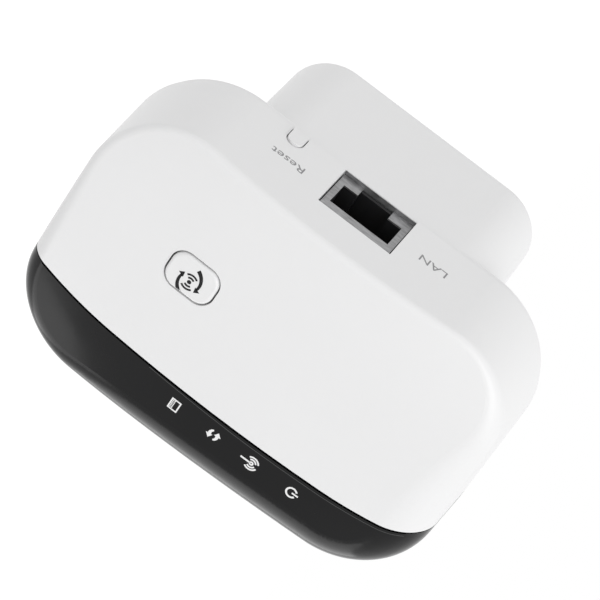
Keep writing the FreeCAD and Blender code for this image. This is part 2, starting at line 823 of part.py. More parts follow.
insert_blank = join(
    "insert_blank",
    rounded_pad("insert_plug", "insert_width", "insert_length", "insert_corner",
                "-block_wall-insert_flange_thickness", "block_wall+insert_flange_thickness"),
    rounded_pad("insert_collar", "insert_width+2*insert_flange", "insert_length+2*insert_flange",
                "insert_corner+insert_flange", "-block_wall-insert_flange_thickness",
                "insert_flange_thickness"),
)
slots = []
sleeves = []
for side, name in ((-1, "pin_left"), (1, "pin_right")):
    blank = blade_body(name + "_blank", side, "pin_width", "pin_thickness", "-pin_inside",
                       "pin_inside+pin_reach", "pin_tip")
    ring = blade_body(name + "_ring", side, "pin_width", "pin_thickness", "0", "sleeve_length")
    core_width = "pin_width-2*sleeve_wall"
    core_thickness = "pin_thickness-2*sleeve_wall"
    waist = blade_body(name + "_waist", side, core_width, core_thickness, "-1", "sleeve_length+2")
    relief = cut(name + "_relief", ring, waist)
    node(cut(name + "_solid", blank, relief), name)
    ring_copy = blade_body(name + "_sleeve_outer", side, "pin_width", "pin_thickness", "0", "sleeve_length")
    bore = blade_body(name + "_sleeve_bore", side, core_width, core_thickness, "-1", "sleeve_length+2")
    sleeves.append(cut(name + "_sleeve", ring_copy, bore))
    slots.append(
        blade_body(name + "_slot", side, "pin_width+2*pin_gap", "pin_thickness+2*pin_gap",
                   "-block_wall-insert_flange_thickness-1", "block_wall+insert_flange_thickness+2")
    )
node(bunch("pin_sleeve_pair", *sleeves), "pin_sleeves")
node(cut("plug_insert_solid", insert_blank, *slots), "plug_insert")

# ---- buttons -------------------------------------------------------------------------

button_cap = rounded_pad(
    "button_cap", "button_width", "button_length", "button_corner",
    "%s+case_wall+fit_gap" % FACE, "case_wall+fit_gap-button_sink", "-Y", "button_x", "button_z",
    edge="button_round",
)
button_flange = rounded_pad(
    "button_flange", "button_width+2*button_flange", "button_length+2*button_flange",
    "button_corner+button_flange", "%s+case_wall+fit_gap" % FACE, "button_flange_thickness", "+Y",
    "button_x", "button_z",
)
plunger_top = "(block_depth+press_plunger_reach)"
button_stem = rod(
    "button_stem_rod", "-Y", "button_x", "-" + plunger_top, "button_z", "button_stem",
    "front_depth-press_plunger_reach-case_wall-fit_gap",
)
node(join("press_button_solid", button_cap, button_flange, button_stem), "press_button")

press_base = centred(
    "press_base", "button_x", "-block_depth-press_switch_height", "button_z",
    "press_switch_size", "press_switch_height", "press_switch_size",
)
press_bore = rod(
    "press_bore", "-Y", "button_x", "-block_depth-press_switch_height+plunger_hold+press_travel+fit_gap",
    "button_z", "press_plunger+panel_gap", "plunger_hold+press_travel+fit_gap+1",
)
node(cut("press_switch_solid", press_base, press_bore), "press_switch")
press_rod = rod(
    "press_rod", "-Y", "button_x", "-block_depth-press_switch_height+plunger_hold", "button_z",
    "press_plunger", "press_plunger_reach-press_switch_height+plunger_hold",
)
node(press_rod, "press_switch_plunger")

reset_out = "case_width/2+reset_proud"
reset_back = "(case_width/2-case_wall-reset_rest)"
reset_cap = block(
    "reset_cap", "-(%s)" % reset_out, "-block_depth-reset_height+reset_width/2", "reset_z-reset_width/2",
    "case_wall+reset_rest+reset_proud", "reset_height-reset_width/2-fit_gap", "reset_width",
)
reset_cap_end = rod(
    "reset_cap_end", "X", "-(%s)" % reset_out, "-block_depth-reset_height+reset_width/2", "reset_z",
    "reset_width/2", "case_wall+reset_rest+reset_proud",
)
reset_plate = block(
    "reset_plate", "-" + reset_back, "-block_depth-reset_height-reset_flange",
    "reset_z-reset_width/2-reset_flange", "reset_flange_thickness",
    "reset_height+reset_flange-fit_gap", "reset_width+2*reset_flange",
)
node(join("reset_button_solid", reset_cap, reset_cap_end, reset_plate), "reset_button")

reset_face = "-(case_width/2-reset_switch_setback)"
reset_axis = "-block_depth-reset_height/2"
reset_base = block(
    "reset_base", reset_face, "-block_depth-reset_switch_height", "reset_z-reset_switch_width/2",
    "reset_switch_depth", "reset_switch_height", "reset_switch_width",
)
reset_bore = rod(
    "reset_bore", "X", "(%s)-1" % reset_face, reset_axis, "reset_z", "reset_plunger+panel_gap",
    "1+plunger_hold+press_travel+fit_gap",
)
node(cut("reset_switch_solid", reset_base, reset_bore), "reset_switch")
reset_pin = rod(
    "reset_pin", "X", "-%s+reset_flange_thickness" % reset_back, reset_axis, "reset_z",
    "reset_plunger",
    "(%s)+%s-reset_flange_thickness+plunger_hold" % (reset_face, reset_back),
)
node(reset_pin, "reset_switch_plunger")

# ---- main board, seated on the four posts --------------------------------------------

board_front = "-block_depth"
main_screw_places = []
for side in (-1, 1):
    main_screw_places.append(("%d*board_screw_x" % side, "%d*board_screw_z" % -side))
link_places = ["%s*link_pitch" % (0.5 * step) for step in (-3, -1, 1, 3)]
peg_places = ["lamp_first+%s*lamp_pitch" % step for step in (0.5, 2.5)]

board_blank = rounded_pad(
    "board_blank", "2*board_side", "2*board_end", "block_corner-block_wall-board_gap", board_front,
    "board_thickness",
)
board_holes = []
for index, (x, z) in enumerate(main_screw_places):
    board_holes.append(
        rod("board_hole_%d" % index, "Y", x, "-block_depth-1", z, "screw_shank+screw_gap",
            "board_thickness+2")
    )
for index, z in enumerate(link_places):
    board_holes.append(
        centred("link_hole_%d" % index, "link_x", "-block_depth-1", z, "link_pin+screw_gap",
                "board_thickness+2", "link_pin+screw_gap")
    )
for index, z in enumerate(peg_places):
    board_holes.append(
        rod("peg_hole_%d" % index, "Y", "lamp_x", "-block_depth-1", z, "pipe_peg+screw_gap/2",
            "board_thickness+2")
    )
node(cut("main_board_solid", board_blank, *board_holes), "main_board")
screws("board_screws", main_screw_places, board_front, "screw_head_height", "screw_head",
       "board_thickness+board_screw_length", "+Y")


def on_board(name, x, z, length, height, width, lift="0"):
    """A box standing on the front of the main board."""
    return centred(name, x, "-block_depth-(%s)-(%s)" % (lift, height), z, length, height, width)


def leads(name, x, z, body_length, pitch, count, face):
    """Two rows of flat legs under a chip, at the ends of its length along X."""
    rows = []
    for side in (-1, 1):
        for step in range(count):
            out = "%s+%d*((%s)/2+leg_reach/2-chip_lift)" % (x, side, body_length)
            along = "%s+%s*%s" % (z, step - (count - 1) / 2, pitch)
            rows.append(
                centred("%s_%d_%d" % (name, side + 1, step), out, "(%s)-leg_height" % face, along,
                        "leg_reach+chip_lift", "leg_height", "leg_width")
            )
    return rows


# Network socket: folded shield, moulded housing and eight spring wires.
jack_front = "-(board_side+jack_overhang)"
jack_top = "-block_depth-jack_height"
shield_blank = block("shield_blank", jack_front, jack_top, "jack_z-jack_width/2",
                     "jack_depth", "jack_height", "jack_width")
shield_room = block("shield_room", "%s+jack_metal" % jack_front, "%s+jack_metal" % jack_top,
                    "jack_z-jack_width/2+jack_metal", "jack_depth-2*jack_metal",
                    "jack_height-2*jack_metal", "jack_width-2*jack_metal")
shield_window = centred("shield_window", jack_front, "%s+plug_floor" % jack_top, "jack_z",
                        "4*jack_metal", "plug_height", "plug_width")
latch_notch = centred("latch_notch", jack_front, "%s+plug_floor" % jack_top, "jack_z",
                      "4*jack_metal", "jack_height", "latch_width")
shield_clips = []
for side in (-1, 1):
    shield_clips.append(
        centred("shield_clip_%d" % (side + 1), "%s+jack_depth/2" % jack_front,
                "-block_depth-jack_height/2-shield_slot/2", "jack_z+%d*jack_width/2" % side,
                "shield_slot", "shield_slot", "jack_metal*3")
    )
node(cut("jack_shield_solid", shield_blank, shield_room, shield_window, latch_notch, *shield_clips),
     "jack_shield")

housing_inset = "(jack_metal+panel_gap/2)"
housing_blank = block(
    "housing_blank", "%s+jack_metal" % jack_front, "%s+%s" % (jack_top, housing_inset),
    "jack_z-jack_width/2+%s" % housing_inset, "jack_depth-2*jack_metal-panel_gap/2",
    "jack_height-2*%s" % housing_inset, "jack_width-2*%s" % housing_inset,
)
plug_way = centred("plug_way", "%s+plug_depth/2" % jack_front, "%s+plug_floor" % jack_top, "jack_z",
                   "plug_depth", "plug_height", "plug_width")
latch_way = centred("latch_way", "%s+plug_depth/2" % jack_front, "%s+plug_floor+plug_height-1" % jack_top,
                    "jack_z", "plug_depth", "latch_height+1", "latch_width")
node(cut("jack_housing_solid", housing_blank, plug_way, latch_way), "jack_housing")

CONTACTS = 8
contact_wires = []
for wire in range(CONTACTS):
    z = "jack_z+%s*contact_pitch" % (wire - (CONTACTS - 1) / 2)
    root = block("contact_root_%d" % wire, "%s+contact_setback" % jack_front, "%s+plug_floor" % jack_top,
                 z + "-contact_size/2", "contact_root", "contact_size", "contact_size")
    spring = doc.addObject("Part::Box", "contact_spring_%d" % wire)
    spring.Placement = Placement(Vector(), Rotation(Vector(0, 0, 1), 1))
    bind(spring, Length="contact_spring", Width="contact_size", Height="contact_size",
         Placement__Rotation__Angle="contact_lean")
    place(spring, "%s+contact_setback+contact_root-contact_size" % jack_front, "%s+plug_floor" % jack_top,
          z + "-contact_size/2")
    contact_wires.append(join("contact_%d" % wire, root, spring))
node(bunch("jack_contact_set", *contact_wires), "jack_contacts")

# Chips, screening can and the other parts on the main board.
network_body = on_board("network_body", "network_x", "jack_z", "network_width", "network_height",
                        "network_length", "chip_lift")
network_legs = leads("network_leg", "network_x", "jack_z", "network_width", "leg_pitch", 8, board_front)
node(join("network_transformer_solid", network_body, *network_legs), "network_transformer")

node(on_board("processor_body", "processor_x", "processor_z", "processor_size", "processor_height",
              "processor_size"), "wifi_processor")
sink_base = on_board("sink_base_block", "processor_x", "processor_z", "processor_size", "sink_base",
                     "processor_size", "processor_height")
sink_fins = []
for fin in range(6):
    sink_fins.append(
        on_board("sink_fin_%d" % fin, "processor_x+%s*fin_pitch" % (fin - 2.5), "processor_z",
                 "fin_thickness", "sink_height", "processor_size", "processor_height")
    )
node(join("heat_sink_solid", sink_base, *sink_fins), "heat_sink")

node(on_board("radio_body", "can_x", "can_z", "radio_size", "processor_height", "radio_size"), "radio_chip")
can_blank = on_board("can_blank", "can_x", "can_z", "can_length", "can_height", "can_width")
can_room = on_board("can_room", "can_x", "can_z", "can_length-2*can_metal", "can_height",
                    "can_width-2*can_metal", "-can_metal")
can_holes = []
for column in range(5):
    for line in range(4):
        can_holes.append(
            rod("can_hole_%d_%d" % (column, line), "-Y", "can_x+%d*can_hole_pitch" % (column - 2),
                "-block_depth-can_height/2", "can_z+%s*can_hole_pitch" % (line - 1.5), "can_hole", "can_height")
        )
node(cut("radio_can_solid", can_blank, can_room, *can_holes), "radio_can")

flash_body = on_board("flash_body", "flash_x", "flash_z", "flash_length", "flash_height", "flash_width",
                      "chip_lift")
flash_legs = leads("flash_leg", "flash_x", "flash_z", "flash_length", "leg_pitch", 4, board_front)
node(join("flash_memory_solid", flash_body, *flash_legs), "flash_memory")

crystal_base = on_board("crystal_base", "crystal_x", "crystal_z", "crystal_length", "leg_width",
                        "crystal_width")
crystal_can = rounded_pad(
    "crystal_can", "crystal_length-leg_width", "crystal_width-leg_width", "crystal_width/2-leg_width",
    "-block_depth-leg_width", "crystal_height-leg_width", "-Y", "crystal_x", "crystal_z",
)
node(join("clock_crystal_solid", crystal_base, crystal_can), "clock_crystal")


def can_capacitor(name, x, z, base_y, radius, height):
    """An upright electrolytic: a can with a rolled groove near its foot."""
    can = rod(name + "_can", "-Y", x, base_y, z, radius, height)
    groove_y = "(%s)-(%s)/5" % (base_y, height)
    outer = rod(name + "_groove_outer", "-Y", x, groove_y, z, "(%s)+1" % radius, "cap_groove*2")
    inner = rod(name + "_groove_inner", "-Y", x, groove_y, z, "(%s)-cap_groove" % radius, "cap_groove*2")
    return cut(name, can, cut(name + "_groove", outer, inner))


small_caps = []
for index, (x, z) in enumerate((
    ("small_cap_x", "small_cap_z"),
    ("small_cap_x", "small_cap_z+small_cap_pitch"),
    ("small_cap_x+small_cap_pitch", "small_cap_z+small_cap_pitch"),
)):
    small_caps.append(
        can_capacitor("small_cap_%d" % index, x, z, board_front, "small_cap_radius", "small_cap_height")
    )
node(bunch("main_capacitor_set", *small_caps), "main_capacitors")
node(rounded_pad("coil_body", "coil_size", "coil_size", "coil_size/5", board_front, "coil_height", "-Y",
                 "coil_x", "coil_z"), "converter_coil")

lamps = []
pipe_parts = []
for lamp in range(4):
    z = "lamp_first+%d*lamp_pitch" % lamp
    lamps.append(on_board("lamp_%d" % lamp, "lamp_x", z, "lamp_width", "lamp_height", "lamp_length"))
    pipe_parts.append(
        centred("pipe_column_%d" % lamp, "lamp_x", "%s+panel_thickness+pipe_clear" % FACE, z, "pipe_size",
                "front_depth-panel_thickness-pipe_clear-lamp_height-fit_gap", "pipe_size")
    )
node(bunch("status_lamp_set", *lamps), "status_lamps")
pipe_parts.append(
    centred("pipe_bar_block", "lamp_x", "-block_depth-pipe_bar_height-pipe_bar", "lamp_first+1.5*lamp_pitch",
            "pipe_bar", "pipe_bar", "3*lamp_pitch")
)
for index, z in enumerate(peg_places):
    pipe_parts.append(
        rod("pipe_peg_%d" % index, "Y", "lamp_x", "-block_depth-pipe_bar_height-pipe_bar/2", z, "pipe_peg",
            "pipe_bar_height+pipe_bar/2+board_thickness")
    )
    pipe_parts.append(
        rod("pipe_shoulder_%d" % index, "Y", "lamp_x", "-block_depth-pipe_bar_height-pipe_bar/2", z,
            "pipe_shoulder", "pipe_bar_height+pipe_bar/2")
    )
node(join("light_pipe_solid", *pipe_parts), "light_pipe")

# Two stamped aerials stand on the ends of the board and reach out under the tray's ends.
for end, name in ((1, "aerial_upper"), (-1, "aerial_lower")):
    upright = centred(name + "_upright", "0", "-block_depth-aerial_rise", "%d*aerial_root" % end,
                      "aerial_width", "aerial_rise", "aerial_metal")
    window = centred(name + "_window", "0", "-block_depth-aerial_rise+aerial_foot", "%d*aerial_root" % end,
                     "aerial_width-2*aerial_leg", "aerial_rise", "2*aerial_metal")
    plate = centred(name + "_plate", "0", "-block_depth-aerial_rise-aerial_metal",
                    "%d*(aerial_root+aerial_tip-aerial_metal/2)/2" % end, "aerial_width", "aerial_metal",
                    "aerial_tip-aerial_root+aerial_metal/2")
    slot_long = centred(name + "_slot_long", "aerial_leg/2", "-block_depth-aerial_rise-3*aerial_metal",
                        "%d*(aerial_root+aerial_tip)/2" % end, "aerial_width-aerial_leg", "4*aerial_metal",
                        "aerial_foot")
    slot_short = centred(name + "_slot_short", "1.5*aerial_leg-aerial_width/2",
                         "-block_depth-aerial_rise-3*aerial_metal",
                         "%d*(3*aerial_root+aerial_tip)/4" % end, "aerial_foot", "4*aerial_metal",
                         "(aerial_tip-aerial_root)/2")
    node(join(name + "_solid", cut(name + "_stand", upright, window),
              cut(name + "_sheet", plate, slot_long, slot_short)), name)

# ---- power board, screwed to standoffs in the bottom of the block --------------------

power_face = "-(block_wall+power_lift+board_thickness)"
power_blank = centred("power_blank", "0", power_face, "0", "2*board_side", "board_thickness",
                      "2*power_end")
power_holes = []
power_screw_places = []
for side in (-1, 1):
    power_screw_places.append(("%d*power_screw_x" % side, "%d*power_screw_z" % -side))
    power_holes.append(
        rod("power_hole_%d" % (side + 1), "Y", "%d*power_screw_x" % side, "%s-1" % power_face,
            "%d*power_screw_z" % -side, "screw_shank+screw_gap", "board_thickness+2")
    )
clips = []
for side, name in ((-1, "clip_left"), (1, "clip_right")):
    power_holes.append(
        blade_body(name + "_way", side, "pin_width+2*fit_gap", "pin_thickness+2*fit_gap",
                   "%s-1" % power_face, "board_thickness+2")
    )
    bore_size = ("pin_width+2*pin_gap", "pin_thickness+2*pin_gap")
    clip_start = "%s-clip_height" % power_face
    clips.append(
        cut(name,
            blade_body(name + "_outer", side, bore_size[0] + "+2*clip_metal", bore_size[1] + "+2*clip_metal",
                       clip_start, "clip_height"),
            blade_body(name + "_bore", side, bore_size[0], bore_size[1], clip_start + "-1", "clip_height+2"))
    )
node(cut("power_board_solid", power_blank, *power_holes), "power_board")
node(bunch("pin_clip_pair", *clips), "pin_clips")
screws("power_board_screws", power_screw_places, power_face, "screw_head_height", "screw_head",
       "board_thickness+power_lift", "+Y")


def on_power(name, x, z, length, height, width, lift="0"):
    """A box standing on the front of the power board."""
    return centred(name, x, "%s-(%s)-(%s)" % (power_face, lift, height), z, length, height, width)


core_blank = on_power("core_blank", "core_x", "core_z", "core_length", "core_height", "core_width",
                      "core_lift")
window_width = "(core_length-2*core_leg-core_centre)/2"
core_windows = []
for side in (-1, 1):
    core_windows.append(
        on_power("core_window_%d" % (side + 1), "core_x+%d*(core_centre+%s)/2" % (side, window_width), "core_z",
                 window_width, "core_height-2*core_leg", "core_width+2", "core_lift+core_leg")
    )
node(cut("transformer_core_solid", core_blank, *core_windows), "transformer_core")
winding_blank = rounded_pad(
    "winding_blank", "winding_length", "winding_width", "core_leg",
    "%s-core_lift-core_leg-winding_gap" % power_face, "core_height-2*core_leg-2*winding_gap", "-Y",
    "core_x", "core_z",
)
winding_bore = on_power("winding_bore", "core_x", "core_z", "core_centre+2*winding_gap", "core_height",
                        "core_width+2*winding_gap")
winding_feet = []
for side in (-1, 1):
    winding_feet.append(
        on_power("winding_foot_%d" % (side + 1), "core_x",
                 "core_z+%d*(winding_width/2-core_leg/2)" % side, "winding_length",
                 "core_lift+core_leg+2*winding_gap", "core_leg/2")
    )
node(join("transformer_winding_solid", cut("winding_coil", winding_blank, winding_bore), *winding_feet),
     "transformer_winding")

bulk_caps = []
for index in range(2):
    bulk_caps.append(
        can_capacitor("bulk_cap_%d" % index, "bulk_x+%d*bulk_pitch" % index, "bulk_z", power_face,
                      "bulk_radius", "bulk_height")
    )
node(bunch("bulk_capacitor_pair", *bulk_caps), "bulk_capacitors")
node(can_capacitor("output_cap", "output_x", "output_z", power_face, "output_radius", "output_height"),
     "output_capacitor")

for name, label, x, z in (
    ("bridge", "bridge_rectifier", "bridge_x", "bridge_z"),
    ("controller", "supply_controller", "controller_x", "controller_z"),
):
    body = on_power(name + "_body", x, z, "flash_length", "flash_height", "flash_width", "chip_lift")
    legs = leads(name + "_leg", x, z, "flash_length", "leg_pitch", 4, power_face)
    node(join(name + "_solid", body, *legs), label)

disc_y = "%s-disc_radius-wire_radius*3" % power_face
disc = rod("disc_body", "Z", "disc_x", disc_y, "disc_z-disc_thickness/2", "disc_radius", "disc_thickness")
disc_legs = []
for side in (-1, 1):
    disc_legs.append(
        rod("disc_leg_%d" % (side + 1), "Y", "disc_x+%d*disc_radius/2" % side, disc_y, "disc_z",
            "wire_radius", "disc_radius+wire_radius*3")
    )
node(join("safety_capacitor_solid", disc, *disc_legs), "safety_capacitor")

fuse_y = "%s-fuse_radius-wire_radius*2" % power_face
fuse_body = rod("fuse_body", "X", "fuse_x-fuse_length/2", fuse_y, "fuse_z", "fuse_radius", "fuse_length")
fuse_wire = rod("fuse_wire", "X", "fuse_x-fuse_length/2-1", fuse_y, "fuse_z", "wire_radius", "fuse_length+2")
fuse_feet = []
for side in (-1, 1):
    fuse_feet.append(
        rod("fuse_foot_%d" % (side + 1), "Y", "fuse_x+%d*(fuse_length/2+1)" % side,
            "%s-foot_radius" % fuse_y, "fuse_z", "foot_radius", "fuse_radius+wire_radius*2+foot_radius")
    )
node(join("fuse_resistor_solid", fuse_body, fuse_wire, *fuse_feet), "fuse_resistor")

choke_core = rod("choke_core", "-Y", "choke_x", power_face, "choke_z", "choke_radius-choke_flange/2",
                 "choke_height")
choke_foot = rod("choke_foot", "-Y", "choke_x", power_face, "choke_z", "choke_radius", "choke_flange")
choke_top = rod("choke_top", "-Y", "choke_x", "%s-choke_height+choke_flange" % power_face, "choke_z",
                "choke_radius", "choke_flange")
node(join("choke_solid", choke_core, choke_foot, choke_top), "choke_inductor")

# Four posts carry low voltage from the power board to the main board.
link_base_body = on_power("link_base_block", "link_x", "0", "link_base", "link_base", "4*link_pitch")
link_ways = []
link_posts = []
for index, z in enumerate(link_places):
    link_ways.append(
        on_power("link_way_%d" % index, "link_x", z, "link_pin+2*pin_gap", "link_base+2", "link_pin+2*pin_gap",
                 "-1")
    )
    link_posts.append(
        centred("link_post_%d" % index, "link_x", "-block_depth-leg_height", z, "link_pin",
                "block_depth+leg_height-block_wall-power_lift-board_thickness", "link_pin")
    )
node(cut("link_header_solid", link_base_body, *link_ways), "link_header")
node(bunch("link_post_set", *link_posts), "link_pins")

sheet_blank = centred("sheet_blank", "0", "-block_depth+board_thickness", "0",
                      "block_width-2*(block_wall+post_size+board_gap)", "sheet_thickness", "2*power_end")
peg_ways = []
for index, z in enumerate(peg_places):
    peg_ways.append(
        rod("peg_way_%d" % index, "Y", "lamp_x", "-block_depth", z, "pipe_peg+fit_gap",
            "board_thickness+sheet_thickness+1")
    )
node(cut("insulation_sheet_solid", sheet_blank, *peg_ways), "insulation_sheet")

# ---- check every object, then write one file for each node ----------------------------

doc.removeObject(working.Name)
doc.recompute()
for thing in doc.Objects:
    if "Invalid" in thing.State or "Error" in thing.State:
        raise RuntimeError("%s did not rebuild: %s" % (thing.Name, thing.State))
for thing in nodes:
    shape = thing.Shape
    if shape.isNull() or not shape.isValid() or not shape.Solids:
        raise RuntimeError("%s has no valid solid" % thing.Label)
for thing in nodes:
    thing.Shape.exportStep("parts/%s.step" % thing.Label)
    print("%-22s %d solid(s) %9.1f mm3" % (thing.Label, len(thing.Shape.Solids), thing.Shape.Volume))
print(len(nodes), "nodes")
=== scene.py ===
import math

import bmesh
import bpy
from mathutils import Matrix, Vector
from mathutils.bvhtree import BVHTree


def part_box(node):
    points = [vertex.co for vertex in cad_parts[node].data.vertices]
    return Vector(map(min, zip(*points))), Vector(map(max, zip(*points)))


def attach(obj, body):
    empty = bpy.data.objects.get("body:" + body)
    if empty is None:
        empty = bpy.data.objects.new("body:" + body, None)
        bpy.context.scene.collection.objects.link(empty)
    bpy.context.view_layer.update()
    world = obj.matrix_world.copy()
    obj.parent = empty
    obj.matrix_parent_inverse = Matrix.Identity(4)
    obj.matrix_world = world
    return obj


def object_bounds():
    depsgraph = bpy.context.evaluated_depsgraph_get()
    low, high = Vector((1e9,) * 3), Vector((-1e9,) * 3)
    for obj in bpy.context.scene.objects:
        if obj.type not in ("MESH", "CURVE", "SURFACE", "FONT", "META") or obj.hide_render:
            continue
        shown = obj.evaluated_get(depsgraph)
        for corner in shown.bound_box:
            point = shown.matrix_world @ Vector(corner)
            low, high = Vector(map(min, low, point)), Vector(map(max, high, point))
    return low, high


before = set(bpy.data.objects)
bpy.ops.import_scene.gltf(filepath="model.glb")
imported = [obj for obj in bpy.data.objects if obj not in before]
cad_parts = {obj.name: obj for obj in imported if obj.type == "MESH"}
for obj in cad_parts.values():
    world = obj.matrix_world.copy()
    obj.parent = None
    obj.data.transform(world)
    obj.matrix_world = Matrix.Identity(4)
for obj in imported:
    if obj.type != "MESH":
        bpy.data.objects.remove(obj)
cad_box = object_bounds()
MM = 0.001


# ---------------------------------------------------------------------------
# Rear case: a deep white tray with the plug block standing out of its back.
# Injection moulded in one piece from white ABS with a fine satin skin; the
# front case drops into its rim and four screws pull the two together.
# ---------------------------------------------------------------------------
def add_node(tree, kind, values=(), links=(), **settings):
    """One node of a tree, with its settings, its plain values and what feeds it."""
    made = tree.nodes.new(kind)
    for setting, value in settings.items():
        setattr(made, setting, value)
    for socket, value in dict(values).items():
        made.inputs[socket].default_value = value
    for socket, source in dict(links).items():
        tree.links.new(source, made.inputs[socket])
    return made


def reckon(tree, operation, *terms):
    """A sum worked out in a tree; each term is a plain number or what feeds it."""
    made = add_node(tree, "ShaderNodeMath", operation=operation)
    for place, term in enumerate(terms):
        if isinstance(term, float):
            made.inputs[place].default_value = term
        else:
            tree.links.new(term, made.inputs[place])
    return made.outputs[0]


def new_group(name, inputs, outputs):
    """An empty shader group with its sockets, and the nodes that carry them."""
    group = bpy.data.node_groups.new(name, "ShaderNodeTree")
    for way, sockets in (("INPUT", inputs), ("OUTPUT", outputs)):
        for label, kind in sockets:
            group.interface.new_socket(label, in_out=way, socket_type="NodeSocket" + kind)
    entry = group.nodes.new("NodeGroupInput")
    leave = group.nodes.new("NodeGroupOutput")
    return group, entry.outputs, leave.inputs


def moulded_skin_group():
    """The skin a textured mould leaves: a fine grain, and slow drifts of shade and gloss."""
    group, given, made = new_group(
        "moulded_skin",
        [("Colour", "Color"), ("Shade Drift", "Float"), ("Gloss Drift", "Float"),
         ("Roughness", "Float"), ("Grain Scale", "Float"), ("Drift Scale", "Float")],
        [("Colour", "Color"), ("Roughness", "Float"), ("Height", "Float")],
    )
    place = add_node(group, "ShaderNodeTexCoord").outputs["Object"]
    grain = add_node(group, "ShaderNodeTexNoise", {"Detail": 3.0, "Roughness": 0.6},
                     {"Vector": place, "Scale": given["Grain Scale"]})
    drift = add_node(group, "ShaderNodeTexNoise", {"Detail": 4.0, "Roughness": 0.55},
                     {"Vector": place, "Scale": given["Drift Scale"]})
    centred = reckon(group, "SUBTRACT", drift.outputs["Fac"], 0.5)
    shade = reckon(group, "MULTIPLY_ADD", centred, given["Shade Drift"], 1.0)
    tinted = add_node(group, "ShaderNodeVectorMath", links={0: given["Colour"], 1: shade},
                      operation="MULTIPLY")
    speck = reckon(group, "SUBTRACT", grain.outputs["Fac"], 0.5)
    both = reckon(group, "ADD", centred, speck)
    gloss = reckon(group, "MULTIPLY_ADD", both, given["Gloss Drift"], given["Roughness"])
    group.links.new(tinted.outputs[0], made["Colour"])
    group.links.new(gloss, made["Roughness"])
    group.links.new(grain.outputs["Fac"], made["Height"])
    return group


def new_finish(name, **plain):
    """A material, its tree and its surface, with the values that are the same all over."""
    material = bpy.data.materials.new(name)
    material.use_nodes = True
    surface = material.node_tree.nodes["Principled BSDF"]
    for socket, value in plain.items():
        surface.inputs[socket.replace("_", " ")].default_value = value
    return material, material.node_tree, surface


def lay_skin(tree, surface, group, depth, **values):
    """Puts a skin's colour, roughness and height on a surface, and returns its node."""
    skin = add_node(tree, "ShaderNodeGroup", node_tree=group)
    for socket, value in values.items():
        value = (*value, 1.0) if socket == "Colour" else value
        skin.inputs[socket.replace("_", " ")].default_value = value
    bump = add_node(tree, "ShaderNodeBump", {"Strength": 1.0, "Distance": depth},
                    {"Height": skin.outputs["Height"]})
    tree.links.new(skin.outputs["Colour"], surface.inputs["Base Color"])
    tree.links.new(skin.outputs["Roughness"], surface.inputs["Roughness"])
    tree.links.new(bump.outputs["Normal"], surface.inputs["Normal"])
    return skin


def moulded_plastic(name, colour, roughness, grain=1800.0, depth=0.004 * MM, shade=0.05,
                    gloss=0.12, drift=60.0, **plain):
    """A moulded plastic: grain is its skin's spots to a metre, depth their height."""
    material, tree, surface = new_finish(name, **plain)
    lay_skin(tree, surface, moulded_skin, depth, Colour=colour, Roughness=roughness,
             Shade_Drift=shade, Gloss_Drift=gloss, Grain_Scale=grain, Drift_Scale=drift)
    return material


def clad(material, *names):
    """Gives CAD nodes their finish."""
    for name in names:
        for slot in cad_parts[name].material_slots:
            slot.material = material


moulded_skin = moulded_skin_group()
white_case = moulded_plastic("white_case", (0.80, 0.80, 0.803), 0.38, shade=0.02, gloss=0.10)
clad(white_case, "rear_shell")


# ---------------------------------------------------------------------------
# Plug insert and pin sleeves: black glass-filled nylon. The insert drops into
# the block's back and carries both pins; a sleeve covers each pin's root so
# that no live metal shows while the plug is half in.
# ---------------------------------------------------------------------------
insert_black = moulded_plastic("insert_black", (0.018, 0.018, 0.02), 0.5, grain=1400.0,
                               depth=0.008 * MM, shade=0.25, gloss=0.2)
pin_sleeve = moulded_plastic("pin_sleeve", (0.014, 0.014, 0.015), 0.32, grain=2600.0,
                             depth=0.002 * MM, shade=0.2)
clad(insert_black, "plug_insert")
clad(pin_sleeve, "pin_sleeves")


# ---------------------------------------------------------------------------
# Plug pins and their clips: flat brass blades, nickel plated and polished, with
# faint draw lines along their length; each is riveted to a sprung brass clip
# that presses on the power board.
# ---------------------------------------------------------------------------
def worked_metal_group():
    """Metal drawn, rolled or brushed one way: long fine streaks and slow dull patches."""
    group, given, made = new_group(
        "worked_metal",
        [("Colour", "Color"), ("Stretch", "Vector"), ("Streak Depth", "Float"),
         ("Dullness", "Float"), ("Roughness", "Float")],
        [("Colour", "Color"), ("Roughness", "Float"), ("Height", "Float")],
    )
    place = add_node(group, "ShaderNodeTexCoord").outputs["Object"]
    drawn = add_node(group, "ShaderNodeVectorMath", links={0: place, 1: given["Stretch"]},
                     operation="MULTIPLY")
    streak = add_node(group, "ShaderNodeTexNoise", {"Scale": 1.0, "Detail": 4.0, "Roughness": 0.6},
                      {"Vector": drawn.outputs[0]})
    patch = add_node(group, "ShaderNodeTexNoise", {"Scale": 180.0, "Detail": 3.0},
                     {"Vector": place})
    line = reckon(group, "SUBTRACT", streak.outputs["Fac"], 0.5)
    dull = reckon(group, "SUBTRACT", patch.outputs["Fac"], 0.5)
    shade = reckon(group, "MULTIPLY_ADD", line, given["Streak Depth"], 1.0)
    tinted = add_node(group, "ShaderNodeVectorMath", links={0: given["Colour"], 1: shade},
                      operation="MULTIPLY")
    both = reckon(group, "ADD", line, dull)
    gloss = reckon(group, "MULTIPLY_ADD", both, given["Dullness"], given["Roughness"])
    group.links.new(tinted.outputs[0], made["Colour"])
    group.links.new(gloss, made["Roughness"])
    group.links.new(streak.outputs["Fac"], made["Height"])
    return group


